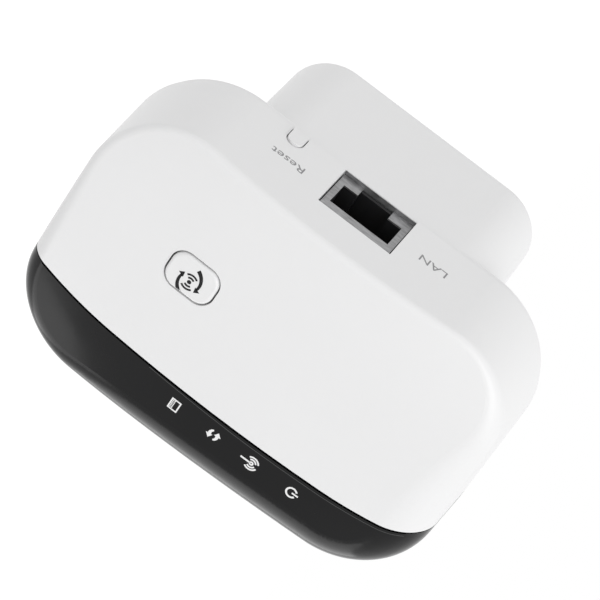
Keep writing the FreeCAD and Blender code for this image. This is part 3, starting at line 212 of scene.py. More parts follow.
def worked_sheet(name, colour, roughness, stretch, depth=0.001 * MM, streaks=0.12,
                 dullness=0.2, metallic=1.0):
    """A metal part; stretch is how many streaks to a metre there are along each axis."""
    material, tree, surface = new_finish(name, Metallic=metallic)
    lay_skin(tree, surface, worked_metal, depth, Colour=colour, Roughness=roughness,
             Stretch=stretch, Streak_Depth=streaks, Dullness=dullness)
    return material


worked_metal = worked_metal_group()
clad(worked_sheet("plug_pin", (0.70, 0.69, 0.66), 0.22, (5000.0, 250.0, 5000.0)),
     "pin_left", "pin_right")
contact_gold = worked_sheet("contact_gold", (0.83, 0.60, 0.26), 0.28, (600.0, 600.0, 4000.0))
clad(contact_gold, "pin_clips")


# ---------------------------------------------------------------------------
# Power board: a fibreglass laminate with a green mask over its copper. Tinned
# through holes take the leads, and two steel screws hold it to the block.
# ---------------------------------------------------------------------------
def board_face_group():
    """Mask over copper: faint raised tracks, tinned spots, and bare laminate at the edges."""
    group, given, made = new_group(
        "board_face",
        [("Mask", "Color"), ("Track", "Color"), ("Laminate", "Color"),
         ("Track Scale", "Float"), ("Hole Scale", "Float")],
        [("Colour", "Color"), ("Roughness", "Float"), ("Height", "Float"), ("Metal", "Float")],
    )
    coordinates = add_node(group, "ShaderNodeTexCoord").outputs
    flat = add_node(group, "ShaderNodeVectorMath", {1: (1.0, 0.0, 1.0)},
                    {0: coordinates["Object"]}, operation="MULTIPLY")
    near, next_near = (
        add_node(group, "ShaderNodeTexVoronoi", {"Randomness": 0.75},
                 {"Vector": flat.outputs[0], "Scale": given["Track Scale"]},
                 distance="MANHATTAN", feature=feature).outputs["Distance"]
        for feature in ("F1", "F2")
    )
    apart = reckon(group, "SUBTRACT", next_near, near)
    track = add_node(group, "ShaderNodeMapRange",
                     {"From Min": 0.10, "From Max": 0.16, "To Min": 1.0, "To Max": 0.0},
                     {"Value": apart})
    spots = add_node(group, "ShaderNodeTexVoronoi", {"Randomness": 0.9},
                     {"Vector": flat.outputs[0], "Scale": given["Hole Scale"]})
    tinned = add_node(group, "ShaderNodeMapRange",
                      {"From Min": 0.13, "From Max": 0.15, "To Min": 1.0, "To Max": 0.0},
                      {"Value": spots.outputs["Distance"]})
    facing = add_node(group, "ShaderNodeSeparateXYZ", links={0: coordinates["Normal"]})
    edge = reckon(group, "LESS_THAN", reckon(group, "ABSOLUTE", facing.outputs["Y"]), 0.5)
    face = reckon(group, "SUBTRACT", 1.0, edge)
    metal = reckon(group, "MULTIPLY", tinned.outputs[0], face)
    covered = add_node(group, "ShaderNodeMix",
                       links={0: track.outputs[0], 6: given["Mask"], 7: given["Track"]},
                       data_type="RGBA")
    dotted = add_node(group, "ShaderNodeMix", {7: (0.66, 0.65, 0.62, 1.0)},
                      {0: metal, 6: covered.outputs[2]}, data_type="RGBA")
    whole = add_node(group, "ShaderNodeMix",
                     links={0: edge, 6: dotted.outputs[2], 7: given["Laminate"]},
                     data_type="RGBA")
    gloss = add_node(group, "ShaderNodeMapRange", {"To Min": 0.32, "To Max": 0.75},
                     {"Value": edge})
    group.links.new(whole.outputs[2], made["Colour"])
    group.links.new(gloss.outputs[0], made["Roughness"])
    group.links.new(track.outputs[0], made["Height"])
    group.links.new(metal, made["Metal"])
    return group


def masked_board(name, track_scale, hole_scale):
    """A laminate board with its tracks and tinned holes at these scales."""
    material, tree, surface = new_finish(name)
    face = lay_skin(tree, surface, board_face, 0.03 * MM, Track_Scale=track_scale,
                    Hole_Scale=hole_scale)
    for socket, colour in (("Mask", (0.012, 0.11, 0.04)), ("Track", (0.03, 0.20, 0.075)),
                           ("Laminate", (0.42, 0.36, 0.16))):
        face.inputs[socket].default_value = (*colour, 1.0)
    tree.links.new(face.outputs["Metal"], surface.inputs["Metallic"])
    return material


board_face = board_face_group()
clad(masked_board("power_board_face", 210.0, 170.0), "power_board")
screw_steel = worked_sheet("screw_steel", (0.55, 0.55, 0.56), 0.32, (1500.0, 1500.0, 1500.0),
                           streaks=0.2)
clad(screw_steel, "power_board_screws")


# ---------------------------------------------------------------------------
# Transformer: two ferrite halves clamped round a bobbin whose copper turns are
# wrapped in yellow polyester tape, each layer's edge showing as a fine step.
# ---------------------------------------------------------------------------
ferrite = moulded_plastic("ferrite", (0.045, 0.045, 0.048), 0.62, grain=2400.0,
                          depth=0.02 * MM, shade=0.5, gloss=0.25, drift=900.0)
winding_tape, tape_tree, tape_surface = new_finish("winding_tape", Coat_Weight=0.4,
                                                   Coat_Roughness=0.12)
lay_skin(tape_tree, tape_surface, moulded_skin, 0.05 * MM, Colour=(0.62, 0.42, 0.035),
         Roughness=0.35, Shade_Drift=0.3, Gloss_Drift=0.2, Grain_Scale=300.0, Drift_Scale=260.0)
tape_place = add_node(tape_tree, "ShaderNodeTexCoord").outputs["Object"]
tape_layers = add_node(tape_tree, "ShaderNodeTexWave",
                       {"Scale": 190.0, "Distortion": 1.2, "Detail": 2.0},
                       {"Vector": tape_place}, bands_direction="Y", wave_profile="SAW")
tape_step = add_node(tape_tree, "ShaderNodeBump", {"Strength": 0.6, "Distance": 0.06 * MM},
                     {"Height": tape_layers.outputs["Fac"]})
tape_tree.links.new(tape_step.outputs["Normal"], tape_surface.inputs["Normal"])
clad(ferrite, "transformer_core")
clad(winding_tape, "transformer_winding")


# ---------------------------------------------------------------------------
# Parts of the power board: electrolytic cans in shrunk sleeves with bare tops,
# a dipped disc capacitor, a lacquered fuse resistor, a choke, moulded chips and
# the pin header that feeds the main board.
# ---------------------------------------------------------------------------
def topped_can(name, sleeve, metal=(0.62, 0.63, 0.65)):
    """A can whose face towards the front is bare metal and whose side is its sleeve."""
    material, tree, surface = new_finish(name)
    skin = lay_skin(tree, surface, moulded_skin, 0.004 * MM, Colour=sleeve, Shade_Drift=0.2,
                    Gloss_Drift=0.15, Roughness=0.3, Grain_Scale=1500.0, Drift_Scale=220.0)
    facing = add_node(tree, "ShaderNodeSeparateXYZ",
                      links={0: add_node(tree, "ShaderNodeTexCoord").outputs["Normal"]})
    top = add_node(tree, "ShaderNodeMapRange",
                   {"From Min": -0.86, "From Max": -0.8, "To Min": 1.0, "To Max": 0.0},
                   {"Value": facing.outputs["Y"]})
    shown = add_node(tree, "ShaderNodeMix", {7: (*metal, 1.0)},
                     {0: top.outputs[0], 6: skin.outputs["Colour"]}, data_type="RGBA")
    tree.links.new(shown.outputs[2], surface.inputs["Base Color"])
    tree.links.new(top.outputs[0], surface.inputs["Metallic"])
    return material


def banded_resistor(name, node, lacquer, bands):
    """A lacquered body with coloured rings at shares of its length along X, and tinned ends."""
    start, end = (corner.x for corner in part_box(node))
    tinned, cap_share, ring_half = (0.6, 0.6, 0.58), 0.09, 0.03
    material, tree, surface = new_finish(name, Coat_Weight=0.5, Coat_Roughness=0.1)
    lay_skin(tree, surface, moulded_skin, 0.01 * MM, Colour=lacquer, Roughness=0.35,
             Shade_Drift=0.2, Gloss_Drift=0.1, Grain_Scale=900.0, Drift_Scale=300.0)
    along = add_node(tree, "ShaderNodeSeparateXYZ",
                     links={0: add_node(tree, "ShaderNodeTexCoord").outputs["Object"]})
    share = add_node(tree, "ShaderNodeMapRange", {"From Min": start, "From Max": end},
                     {"Value": along.outputs["X"]})
    rings = add_node(tree, "ShaderNodeValToRGB", links={0: share.outputs[0]})
    stops = rings.color_ramp.elements
    rings.color_ramp.interpolation = "CONSTANT"
    stops[0].color = (*tinned, 1.0)
    stops[1].position, stops[1].color = cap_share, (*lacquer, 1.0)
    for middle, colour in bands:
        stops.new(middle - ring_half).color = (*colour, 1.0)
        stops.new(middle + ring_half).color = (*lacquer, 1.0)
    stops.new(1.0 - cap_share).color = (*tinned, 1.0)
    tree.links.new(rings.outputs["Color"], surface.inputs["Base Color"])
    return material


clad(topped_can("capacitor_sleeve", (0.012, 0.022, 0.06)), "bulk_capacitors", "output_capacitor")
clad(moulded_plastic("disc_blue", (0.03, 0.11, 0.42), 0.28, grain=500.0, depth=0.05 * MM,
                     shade=0.25), "safety_capacitor")
brown, black, gold = (0.16, 0.05, 0.02), (0.01, 0.01, 0.01), (0.55, 0.38, 0.08)
clad(banded_resistor("fuse_green", "fuse_resistor", (0.10, 0.27, 0.12),
                     [(0.3, brown), (0.42, black), (0.54, gold)]), "fuse_resistor")
coil_dark = moulded_plastic("coil_dark", (0.05, 0.05, 0.052), 0.55, grain=1600.0, depth=0.02 * MM,
                            shade=0.4, gloss=0.25)
clad(coil_dark, "choke_inductor")
chip_black = moulded_plastic("chip_black", (0.022, 0.022, 0.024), 0.62, grain=3000.0,
                             depth=0.008 * MM, shade=0.3, gloss=0.2, drift=140.0)
clad(chip_black, "bridge_rectifier", "supply_controller")
socket_black = moulded_plastic("socket_black", (0.008, 0.008, 0.009), 0.45, grain=1600.0,
                               depth=0.004 * MM, shade=0.2)
clad(socket_black, "link_header")
clad(contact_gold, "link_pins")


# ---------------------------------------------------------------------------
# Insulating film: a pale sheet of polycarbonate film laid between the live
# board and the main board, slightly see-through.
# ---------------------------------------------------------------------------
clad(moulded_plastic("sheet_film", (0.66, 0.66, 0.62), 0.42, grain=700.0, depth=0.006 * MM,
                     shade=0.08, Transmission_Weight=0.25), "insulation_sheet")


# ---------------------------------------------------------------------------
# Main board: finer tracks than the power board, carrying the radio, processor,
# memory and crystal, seated on four posts and held by two steel screws.
# ---------------------------------------------------------------------------
clad(masked_board("main_board_face", 420.0, 330.0), "main_board")
clad(screw_steel, "board_screws")
clad(chip_black, "network_transformer", "wifi_processor", "radio_chip", "flash_memory")
clad(worked_sheet("sink_metal", (0.66, 0.67, 0.68), 0.42, (4000.0, 4000.0, 120.0),
                  depth=0.004 * MM), "heat_sink")
can_metal = worked_sheet("can_metal", (0.66, 0.66, 0.65), 0.34, (900.0, 900.0, 2600.0))
clad(can_metal, "radio_can", "clock_crystal")
clad(topped_can("capacitor_can", (0.60, 0.61, 0.63)), "main_capacitors")
clad(coil_dark, "converter_coil")


# ---------------------------------------------------------------------------
# Rows of chip resistors and capacitors: ceramic bodies a millimetre and a half
# long with tinned ends, reflowed onto the free parts of the main board.
# ---------------------------------------------------------------------------
def rows_tree():
    """Copies one part over a grid of places, then makes the copies real."""
    tree = bpy.data.node_groups.new("rows_of_parts", "GeometryNodeTree")
    for label, kind in (("Part", "Object"), ("Columns", "Int"), ("Rows", "Int"), ("Width", "Float"),
                        ("Length", "Float"), ("Missing Share", "Float"), ("Seed", "Int"),
                        ("Place", "Vector"), ("Finish", "Material")):
        tree.interface.new_socket(label, in_out="INPUT", socket_type="NodeSocket" + kind)
    tree.interface.new_socket("Geometry", in_out="OUTPUT", socket_type="NodeSocketGeometry")
    given = tree.nodes.new("NodeGroupInput").outputs
    grid = add_node(tree, "GeometryNodeMeshGrid",
                    links={"Size X": given["Width"], "Size Y": given["Length"],
                           "Vertices X": given["Columns"], "Vertices Y": given["Rows"]})
    dropped = add_node(tree, "FunctionNodeRandomValue",
                       links={"Probability": given["Missing Share"], "Seed": given["Seed"]},
                       data_type="BOOLEAN")
    kept = add_node(tree, "GeometryNodeDeleteGeometry",
                    links={"Geometry": grid.outputs["Mesh"], "Selection": dropped.outputs[3]})
    placed = add_node(tree, "GeometryNodeTransform", {"Rotation": (math.pi / 2, 0.0, 0.0)},
                      {"Geometry": kept.outputs[0], "Translation": given["Place"]})
    part = add_node(tree, "GeometryNodeObjectInfo", links={"Object": given["Part"]})
    copies = add_node(tree, "GeometryNodeInstanceOnPoints",
                      links={"Points": placed.outputs[0], "Instance": part.outputs["Geometry"]})
    real = add_node(tree, "GeometryNodeRealizeInstances", links={0: copies.outputs[0]})
    finished = add_node(tree, "GeometryNodeSetMaterial",
                        links={"Geometry": real.outputs[0], "Material": given["Finish"]})
    leave = tree.nodes.new("NodeGroupOutput")
    tree.links.new(finished.outputs[0], leave.inputs[0])
    return tree


def made_mesh(name, shape, *finishes):
    """The mesh of a worked shape, which is done with after this."""
    mesh = bpy.data.meshes.new(name)
    shape.to_mesh(mesh)
    shape.free()
    for finish in finishes:
        mesh.materials.append(finish)
    return mesh


def put_in(name, made):
    """A new object of the scene, at the origin."""
    thing = bpy.data.objects.new(name, made)
    bpy.context.scene.collection.objects.link(thing)
    return thing


def real_mesh(thing):
    """The plain mesh that an object's text or modifiers work out to."""
    return bpy.data.meshes.new_from_object(
        thing.evaluated_get(bpy.context.evaluated_depsgraph_get()))


def plain_mesh(name, boxes, edge):
    """Boxes with softened edges, each given by its middle and its size."""
    shape = bmesh.new()
    for middle, size in boxes:
        made = bmesh.ops.create_cube(shape, size=1.0)["verts"]
        bmesh.ops.scale(shape, vec=size, verts=made)
        bmesh.ops.translate(shape, vec=middle, verts=made)
    bmesh.ops.bevel(shape, geom=shape.edges[:], offset=edge, segments=1, affect="EDGES")
    return made_mesh(name, shape)


def spread_rows(name, part_mesh, finish, slot, **inputs):
    """One piece made of a part's copies, riding on the case."""
    part = put_in(name + "_part", part_mesh)
    holder = put_in(name + "_rows", bpy.data.meshes.new(name + "_rows"))
    modifier = holder.modifiers.new("rows", "NODES")
    modifier.node_group = rows_of_parts
    sockets = {item.name: item.identifier for item in rows_of_parts.interface.items_tree}
    for label, value in dict(inputs, Part=part, Finish=finish).items():
        modifier[sockets[label.replace("_", " ")]] = value
    made = real_mesh(holder)
    holder.modifiers.remove(modifier)
    bpy.data.objects.remove(holder)
    bpy.data.objects.remove(part)
    made.name = name
    piece = put_in(name, made)
    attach(piece, "case")


rows_of_parts = rows_tree()
part_long, part_wide, part_tall, end_cap = 1.6 * MM, 0.8 * MM, 0.5 * MM, 0.35 * MM
cap_tall, cap_wide = part_tall * 1.08, part_wide * 1.04
body_edge, cap_edge = 0.03 * MM, 0.05 * MM
column_pitch, row_pitch, missing_share, first_seed = 2.4 * MM, 1.7 * MM, 0.2, 3
body_mesh = plain_mesh("chip_part_body",
                       [((0, 0, 0), (part_long - 2 * end_cap, part_tall, part_wide))], body_edge)
caps_mesh = plain_mesh("chip_part_ends",
                       [((side * (part_long - end_cap) / 2, 0, 0), (end_cap, cap_tall, cap_wide))
                        for side in (-1, 1)], cap_edge)
part_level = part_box("main_board")[0].y - part_tall / 2
free_areas = ((-15.5, -14.0, 3, 6), (-12.5, 14.5, 6, 5), (19.5, -3.5, 2, 5))
for index, (x, z, columns, rows) in enumerate(free_areas):
    shared = dict(Columns=columns, Rows=rows, Width=column_pitch * (columns - 1),
                  Length=row_pitch * (rows - 1), Missing_Share=missing_share,
                  Seed=first_seed + index, Place=(x * MM, part_level, z * MM))
    spread_rows("chip_part_bodies_%d" % index, body_mesh, chip_black, "chip_black", **shared)
    spread_rows("chip_part_ends_%d" % index, caps_mesh, can_metal, "can_metal", **shared)


# ---------------------------------------------------------------------------
# Network socket: a tin-plated steel shield folded round a black moulding, with
# the plug's window and latch notch cut in its front, and eight gilt spring
# wires inside. A dark steel tongue laid along the back wall of the opening is
# painted shade, standing in for the shadow on that wall.
# ---------------------------------------------------------------------------
shield_steel = worked_sheet("shield_steel", (0.30, 0.30, 0.305), 0.42, (1600.0, 1900.0, 600.0),
                            depth=0.012 * MM, streaks=1.5, dullness=0.4, metallic=0.85)
clad(shield_steel, "jack_shield")
clad(socket_black, "jack_housing")
clad(contact_gold, "jack_contacts")

# The painted-shade tongue, in millimetres across and up: it steps in behind the latch notch.
tongue_back, tongue_metal, tongue_shape = -28.02 * MM, 0.10 * MM, bmesh.new()
outline = [tongue_shape.verts.new((x * MM, tongue_back, z * MM)) for x, z in (
    (-27.45, -6.3), (-26.83, -6.3), (-26.83, -2.1), (-26.23, -2.1),
    (-26.23, 4.1), (-26.83, 4.1), (-26.83, 8.3), (-27.45, 8.3))]
grown = bmesh.ops.extrude_face_region(tongue_shape, geom=[tongue_shape.faces.new(outline)])["geom"]
bmesh.ops.translate(tongue_shape, vec=(0, -tongue_metal, 0),
                    verts=[part for part in grown if isinstance(part, bmesh.types.BMVert)])
bmesh.ops.recalc_face_normals(tongue_shape, faces=tongue_shape.faces[:])
# A dark sheet laid on the wall as painted shade for the shadow in the opening.
earthing_tongue = put_in("earthing_tongue",
                         made_mesh("earthing_tongue", tongue_shape, shield_steel))
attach(earthing_tongue, "case")


# ---------------------------------------------------------------------------
# Switches, lamps, light pipe and aerials: two push switches, four white lamps
# under a clear moulding that leads their light to the strip, and two tinned
# strip aerials standing off the board's ends.
# ---------------------------------------------------------------------------
switch_black = moulded_plastic("switch_body", (0.016, 0.016, 0.018), 0.45, shade=0.25)
clad(switch_black, "press_switch", "press_switch_plunger", "reset_switch", "reset_switch_plunger")
clad(moulded_plastic("lamp_white", (0.78, 0.74, 0.56), 0.3, shade=0.12, Subsurface_Weight=0.1),
     "status_lamps")
clad(moulded_plastic("clear_pipe", (0.92, 0.94, 0.95), 0.08, grain=300.0, depth=0.002 * MM,
                     shade=0.02, gloss=0.05, Transmission_Weight=1.0, IOR=1.49), "light_pipe")
clad(worked_sheet("aerial_metal", (0.68, 0.66, 0.58), 0.33, (400.0, 3000.0, 3000.0)),
     "aerial_upper", "aerial_lower")


# ---------------------------------------------------------------------------
# Front case and push buttons: the same white moulding as the rear case. The
# case drops over the boards; each button is held behind it by its own flange.
# ---------------------------------------------------------------------------
clad(white_case, "front_shell", "press_button", "reset_button")


# ---------------------------------------------------------------------------
# Indicator strip: smoked polycarbonate, moulded with a polished face and glued
# into its step in the front case, with the status lamps behind it.
# ---------------------------------------------------------------------------
smoked_panel = moulded_plastic("smoked_panel", (0.0062, 0.0062, 0.0066), 0.16, grain=900.0,
                               depth=0.0006 * MM, shade=0.2, gloss=0.06, Specular_IOR_Level=0.18)
clad(smoked_panel, "indicator_panel")


# ---------------------------------------------------------------------------
# Seam shade: a matte black fill laid in the joint between strip and case, up to
# just under the skin, as painted shade for the dark of the gap. The joint bows
# gently and curls in at its ends.
# ---------------------------------------------------------------------------
def skin_tree(node):
    """A CAD node's surface, for finding where a line meets it."""
    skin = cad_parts[node].data
    return BVHTree.FromPolygons([v.co for v in skin.vertices], [p.vertices for p in skin.polygons])


def seam_x(height):
    """How far across the strip's own edge lies at a height up the case, in metres."""
    bow_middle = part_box("indicator_panel")[1].x - strip_width - seam_bow
    if abs(height) <= seam_half:
        return bow_middle + math.sqrt(seam_bow ** 2 - height ** 2)
    swing = math.asin(seam_half / seam_bow)
    curl_middle = bow_middle + (seam_bow - seam_curl) * math.cos(swing)
    beyond = abs(height) - (seam_half - seam_curl * math.sin(swing))
    return curl_middle + math.sqrt(seam_curl ** 2 - beyond ** 2)


def seam_heights(end, turn):
    """Heights from one end of the seam to the other, closer together past the turn."""
    half_steps, end_steps = 60, 14
    middle = [turn * (i / half_steps - 1) for i in range(2 * half_steps + 1)]
    outer = [turn + (end - turn) * (i + 1) / end_steps for i in range(end_steps)]
    return [-height for height in reversed(outer)] + middle + outer


strip_width, seam_bow, seam_curl, seam_half = 14.7 * MM, 600 * MM, 75 * MM, 22 * MM
seam_gap, shade_sink, shade_depth = 0.25 * MM, 0.05 * MM, 0.9 * MM
seam_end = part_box("front_shell")[1].z - 0.15 * MM
seam_turn, beside_gap, probe_start = 39.8 * MM, 0.2 * MM, -60 * MM
case_skin, parting = skin_tree("front_shell"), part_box("front_shell")[1].y
lowest_top, lowest_bottom = parting - 0.1 * MM, parting - 0.05 * MM
shade_shape, rings = bmesh.new(), []
for height in seam_heights(seam_end, seam_turn):
    edge = seam_x(height)
    probe = Vector((edge - seam_gap - beside_gap, probe_start, height))
    hit = case_skin.ray_cast(probe, Vector((0, 1, 0)))[0]
    top = min(hit.y + shade_sink, lowest_top)
    bottom = min(top + shade_depth, lowest_bottom)
    rings.append([shade_shape.verts.new(corner) for corner in (
        (edge - seam_gap, top, height), (edge, top, height), (edge, bottom, height),
        (edge - seam_gap, bottom, height))])
for near, far in zip(rings, rings[1:]):
    for i in range(4):
        shade_shape.faces.new((near[i], near[(i + 1) % 4], far[(i + 1) % 4], far[i]))
shade_shape.faces.new(reversed(rings[0]))
shade_shape.faces.new(rings[-1])
bmesh.ops.recalc_face_normals(shade_shape, faces=shade_shape.faces[:])
# Black with no gloss: painted shade in the joint.
seam_shade_black = moulded_plastic("seam_shade_black", (0.001, 0.001, 0.001), 0.8, shade=0.3,
                             Specular_IOR_Level=0.0)
seam_seal = put_in("seam_seal", made_mesh("seam_seal", shade_shape, seam_shade_black))
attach(seam_seal, "case")


# ---------------------------------------------------------------------------
# Case screws: four zinc-plated steel screws driven from the back, which pull
# the rear case onto the bosses of the front case.
# ---------------------------------------------------------------------------
clad(screw_steel, "case_screws")


# ---------------------------------------------------------------------------
# Printed marks: pad-printed ink, a few hundredths of a millimetre thick, that
# follows the skin it is printed on. Words are plain ones; the rest are symbols,
# but for two lines along the strip's edge laid as the same film: painted shade
# and a painted highlight.
# ---------------------------------------------------------------------------
def arc_points(middle, radius, first, last, steps=24):
    """Points round part of a circle, angles in degrees."""
    x, y = middle
    angles = [math.radians(first + (last - first) * i / steps) for i in range(steps + 1)]
    return [Vector((x + radius * math.cos(a), y + radius * math.sin(a))) for a in angles]


def band(points, width, end_width=None):
    """Flat faces along a line of points, width across, tapering to end_width."""
    points = [Vector(p) for p in points]
    end_width = width if end_width is None else end_width
    sides = []
    for i, point in enumerate(points):
        along = (points[min(i + 1, len(points) - 1)] - points[max(i - 1, 0)]).normalized()
        half = (width + (end_width - width) * i / (len(points) - 1)) / 2
        off = Vector((-along.y, along.x)) * half
        sides.append((point - off, point + off))
    return [[a[0], b[0], b[1], a[1]] for a, b in zip(sides, sides[1:])]


def frame_shape(wide, tall, width):
    """Four mitred bars round a rectangle of these outer sizes."""
    outer = [Vector((x * wide / 2, y * tall / 2)) for x, y in ((-1, -1), (1, -1), (1, 1), (-1, 1))]
    inner = [Vector((p.x - math.copysign(width, p.x), p.y - math.copysign(width, p.y)))
             for p in outer]
    return [[outer[i], outer[(i + 1) % 4], inner[(i + 1) % 4], inner[i]] for i in range(4)]


def bar(left, bottom, right, top):
    """One upright rectangle."""
    corners = ((left, bottom), (right, bottom), (right, top), (left, top))
    return [[Vector(corner) for corner in corners]]


def arrow_head(tip, heading, length, width):
    """A filled triangle with its tip at tip, pointing along heading in degrees."""
    ahead = Vector((math.cos(math.radians(heading)), math.sin(math.radians(heading))))
    side = Vector((-ahead.y, ahead.x)) * width / 2
    back = Vector(tip) - ahead * length
    return [[Vector(tip), back + side, back - side]]


def twice(faces, across=-1, up=-1):
    """Faces and their copy turned half round the origin, or with up=1 mirrored left to right."""
    return faces + [[Vector((p.x * across, p.y * up)) for p in face] for face in faces]


def word_faces(text, height, spread):
    """A word's flat faces round the origin; height is its capitals', spread widens its letters."""
    curve = bpy.data.curves.new(text, "FONT")
    curve.body, curve.align_x, curve.align_y, curve.resolution_u = text, "CENTER", "CENTER", 3
    holder = put_in(text, curve)
    flat = real_mesh(holder)
    capital_share = 0.69
    scale = height / capital_share
    places = [Vector((v.co.x * spread, v.co.y)) * scale for v in flat.vertices]
    faces = [[places[v] for v in p.vertices] for p in flat.polygons]
    bpy.data.objects.remove(holder)
    bpy.data.meshes.remove(flat)
    bpy.data.curves.remove(curve)
    return faces


def print_on(node, name, body, faces, middle, reading, rising, ink):
    """Lays flat faces, in millimetres, on a node's skin as a closed film of ink."""
    weld, longest_edge, ink_sunk, ink_thick = 0.002 * MM, 0.5 * MM, 0.01 * MM, 0.03 * MM
    start_off, reach, most_halvings = 4 * MM, 25 * MM, 3
    reading, rising, middle = Vector(reading), Vector(rising), Vector(middle) * MM
    outward = reading.cross(rising)
    skin = skin_tree(node)
    film = bmesh.new()
    for face in faces:
        film.faces.new([film.verts.new((p[0] * MM, p[1] * MM, 0.0)) for p in face])
    bmesh.ops.remove_doubles(film, verts=film.verts[:], dist=weld)
    bmesh.ops.triangulate(film, faces=film.faces[:])
    for halving in range(most_halvings):
        long_edges = [e for e in film.edges if e.calc_length() > longest_edge]
        bmesh.ops.subdivide_edges(film, edges=long_edges, cuts=1)
        bmesh.ops.triangulate(film, faces=film.faces[:])
    for vertex in film.verts:
        start = middle + reading * vertex.co.x + rising * vertex.co.y + outward * start_off
        vertex.co = skin.ray_cast(start, -outward, reach)[0] - outward * ink_sunk
    raised = bmesh.ops.extrude_face_region(film, geom=film.faces[:])["geom"]
    for vertex in (part for part in raised if isinstance(part, bmesh.types.BMVert)):
        vertex.co += outward * ink_thick
    bmesh.ops.recalc_face_normals(film, faces=film.faces[:])
    piece = put_in(name, made_mesh(name, film, ink))
    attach(piece, body)


dark_ink = moulded_plastic("dark_ink", (0.010, 0.010, 0.011), 0.55, grain=4000.0, depth=0.002 * MM,
                          Specular_IOR_Level=0.2)
grey_ink = moulded_plastic("grey_ink", (0.26, 0.26, 0.265), 0.6, grain=4000.0, depth=0.002 * MM)
white_ink = moulded_plastic("white_ink", (0.84, 0.84, 0.84), 0.5, grain=4000.0, depth=0.002 * MM)

# The push button: two chasing arrows round a radio mark.
turning = twice(band(arc_points((0.41, 0.96), 2.8, -27, -107), 0.78, 0.45)
                + arrow_head((-1.2, -1.5), 155, 0.95, 1.2))
waves = [face for radius in (0.82, 1.45)
         for face in band(arc_points((0, 0), radius, -42, 42), 0.36)]
radio = band(arc_points((0, 0), 0.2, 0, 360), 0.38) + twice(waves)
rightward, upward, before_front = (1, 0, 0), (0, 0, 1), -55.0
print_on("press_button", "pairing_mark", "press_key", turning + radio,
         (-5.45, before_front, -15.4), rightward, upward, dark_ink)

# The strip: socket, exchange, wireless and power, low to high.
socket_sign = frame_shape(2.3, 1.95, 0.26)
for row in range(2):
    for column in range(5):
        x, z = -0.84 + 0.35 * column, -0.65 + 0.33 * row
        socket_sign += bar(x, z, x + 0.24, z + 0.23)
exchange_sign = twice(band(arc_points((-0.1, 0.1), 0.85, -152, -72), 0.3, 0.66)
                      + arrow_head((1.0, -0.66), 6, 0.85, 1.3))
waves = [face for radius in (0.8, 1.28) for face in band(arc_points((0, 0), radius, -40, 68), 0.3)]
wireless_sign = (band([(0, -2.2), (0, -0.25)], 0.34) + band(arc_points((0, 0), 0.28, 0, 360), 0.3)
                 + twice(waves, up=1))
power_sign = band(arc_points((0, 0), 0.95, 122, 418, 36), 0.34) + bar(-0.16, 0.1, 0.16, 1.35)
sign_column = 16.6
for label, sign, height in (
        ("socket_sign", socket_sign, -5.9), ("exchange_sign", exchange_sign, 2.35),
        ("wireless_sign", wireless_sign, 10.3), ("power_sign", power_sign, 18.6)):
    print_on("indicator_panel", label, "case", sign, (sign_column, before_front, height),
             rightward, upward, white_ink)

# Painted shade and highlight along the strip's edge: a black line printed along
# the joint as its shadow, and beside it a fine paler line, a painted highlight of
# the edge's bevel, that draws off it to begin with.
# Black for the painted joint shadow, a paler grey for the painted bevel highlight.
joint_shadow_black = moulded_plastic("joint_shadow_black", (0.001, 0.001, 0.001), 0.8, shade=0.3,
                             Specular_IOR_Level=0.0)
highlight_grey = moulded_plastic("highlight_grey", (0.05, 0.05, 0.051), 0.2, shade=0.3)
line_end, shadow_inset, shadow_width = 38, 0.09, 0.15
highlight_start, highlight_inset, highlight_width, draw_off, draw_length = -13, 0.35, 0.11, 0.4, 20
shadow_points = [(seam_x(z * MM) / MM + shadow_inset, z) for z in range(-line_end, line_end + 1)]
highlight_points = [(seam_x(z * MM) / MM + highlight_inset
               + draw_off * min((z - highlight_start) / draw_length, 1.0), z)
              for z in range(highlight_start, line_end + 1)]
for label, line, width, ink in (("edge_mask", shadow_points, shadow_width, joint_shadow_black),
                                ("polished_break", highlight_points, highlight_width, highlight_grey)):
    print_on("indicator_panel", label, "case", band(line, width), (0.0, before_front, 0.0),
             rightward, upward, ink)

# Beside the reset button and the socket: their plain names, read from the top down.
letter_height, letter_spread, beside_wall = 1.75, 1.18, -35.0
for label, y, z in (("Reset", -36.7, -14.45), ("LAN", -35.8, 15.1)):
    print_on("front_shell", label.lower() + "_word", "case",
             word_faces(label, letter_height, letter_spread), (beside_wall, y, z),
             (0, 0, -1), (0, -1, 0), grey_ink)


# ---------------------------------------------------------------------------
# Setting: a plain pale floor well below, soft light all round, a large soft box
# above the front, two lamps that only show mirrored in the strip, and the camera.
# ---------------------------------------------------------------------------
def soft_box(name, direction, distance, size, share, roll=0.0):
    """A square lamp aimed at the case; share is its light beside an all-round white's."""
    light = bpy.data.lights.new(name, "AREA")
    light.size = size
    light.energy = share * (math.pi * distance) ** 2
    lamp = put_in(name, light)
    aim = (Vector(cad_box[0]) + Vector(cad_box[1])) / 2
    lamp.location = aim + Vector(direction).normalized() * distance
    facing = (aim - lamp.location).to_track_quat("-Z", "Y").to_matrix()
    lamp.rotation_euler = (facing @ Matrix.Rotation(math.radians(roll), 3, "Z")).to_euler()
    return lamp


def any_seen_ray(tree):
    """One where a surface is looked at, mirrored or seen through glass."""
    seen = add_node(tree, "ShaderNodeLightPath").outputs
    either = reckon(tree, "MAXIMUM", seen["Is Camera Ray"], seen["Is Glossy Ray"])
    return reckon(tree, "MAXIMUM", either, seen["Is Transmission Ray"])


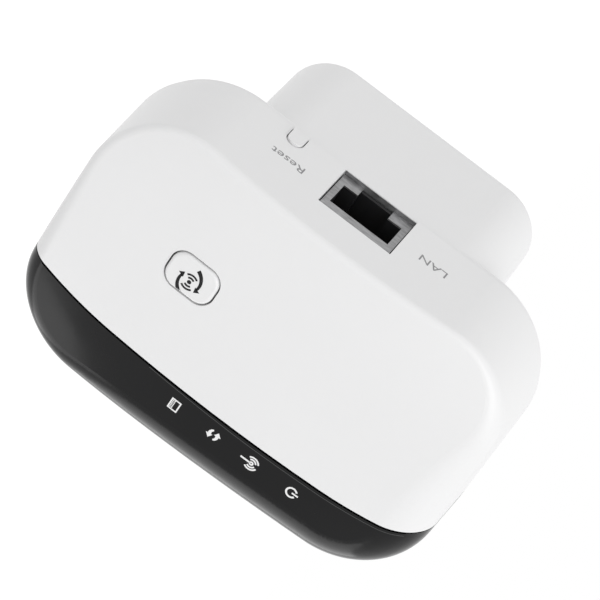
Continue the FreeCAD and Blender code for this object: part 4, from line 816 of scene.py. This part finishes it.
def studio_world(ambient):
    """White wherever it is seen or mirrored, and a slightly lower even light on the object."""
    world = bpy.data.worlds.new("studio")
    bpy.context.scene.world = world
    world.use_nodes = True
    tree = world.node_tree
    level = add_node(tree, "ShaderNodeMapRange", {"To Min": ambient, "To Max": 1.0},
                     {"Value": any_seen_ray(tree)})
    tree.links.new(level.outputs[0], tree.nodes["Background"].inputs["Strength"])
    tree.nodes["Background"].inputs["Color"].default_value = (1.0, 1.0, 1.0, 1.0)


studio_world(ambient=0.83)
soft_box("key", (-0.26, -0.6, 0.76), distance=1.1, size=0.7, share=0.36)
for glow in (
        soft_box("edge_glow", (0.985, -0.10, -0.12), distance=1.0, size=0.95, share=0.45),
        soft_box("end_glow", (0.661, -0.325, -0.675), distance=0.295, size=0.275, share=0.55,
                 roll=-20.0)):
    glow.visible_diffuse = False

floor_half, floor_drop, floor_glow = 6.0, 110 * MM, 0.40
floor_paint = moulded_plastic("floor_paint", (0.78, 0.78, 0.78), 0.9, grain=40.0,
                              depth=0.01 * MM, shade=0.01, gloss=0.02, drift=2.0,
                              Specular_IOR_Level=0.0, Emission_Color=(1.0, 1.0, 1.0, 1.0))
paint_tree = floor_paint.node_tree
paint_tree.links.new(reckon(paint_tree, "MULTIPLY", any_seen_ray(paint_tree), floor_glow),
                     paint_tree.nodes["Principled BSDF"].inputs["Emission Strength"])
floor_shape = bmesh.new()
bmesh.ops.create_grid(floor_shape, x_segments=1, y_segments=1, size=floor_half)
floor = put_in("floor", made_mesh("floor", floor_shape, floor_paint))
floor.location.z = cad_box[0][2] - floor_drop

eye = Vector((-403.0, -625.3, 42.2)) * MM
ahead = Vector((0.5572, 0.8283, -0.0589)).normalized()
across = Vector((-0.4766, 0.3771, 0.7941)).normalized()
above = across.cross(ahead).normalized()
view = put_in("camera", bpy.data.cameras.new("camera"))
view.data.lens = 255.3
view.matrix_world = Matrix.Translation(eye) @ Matrix((across, above, -ahead)).transposed().to_4x4()
bpy.context.scene.camera = view
bpy.context.scene.view_settings.view_transform = "Standard"
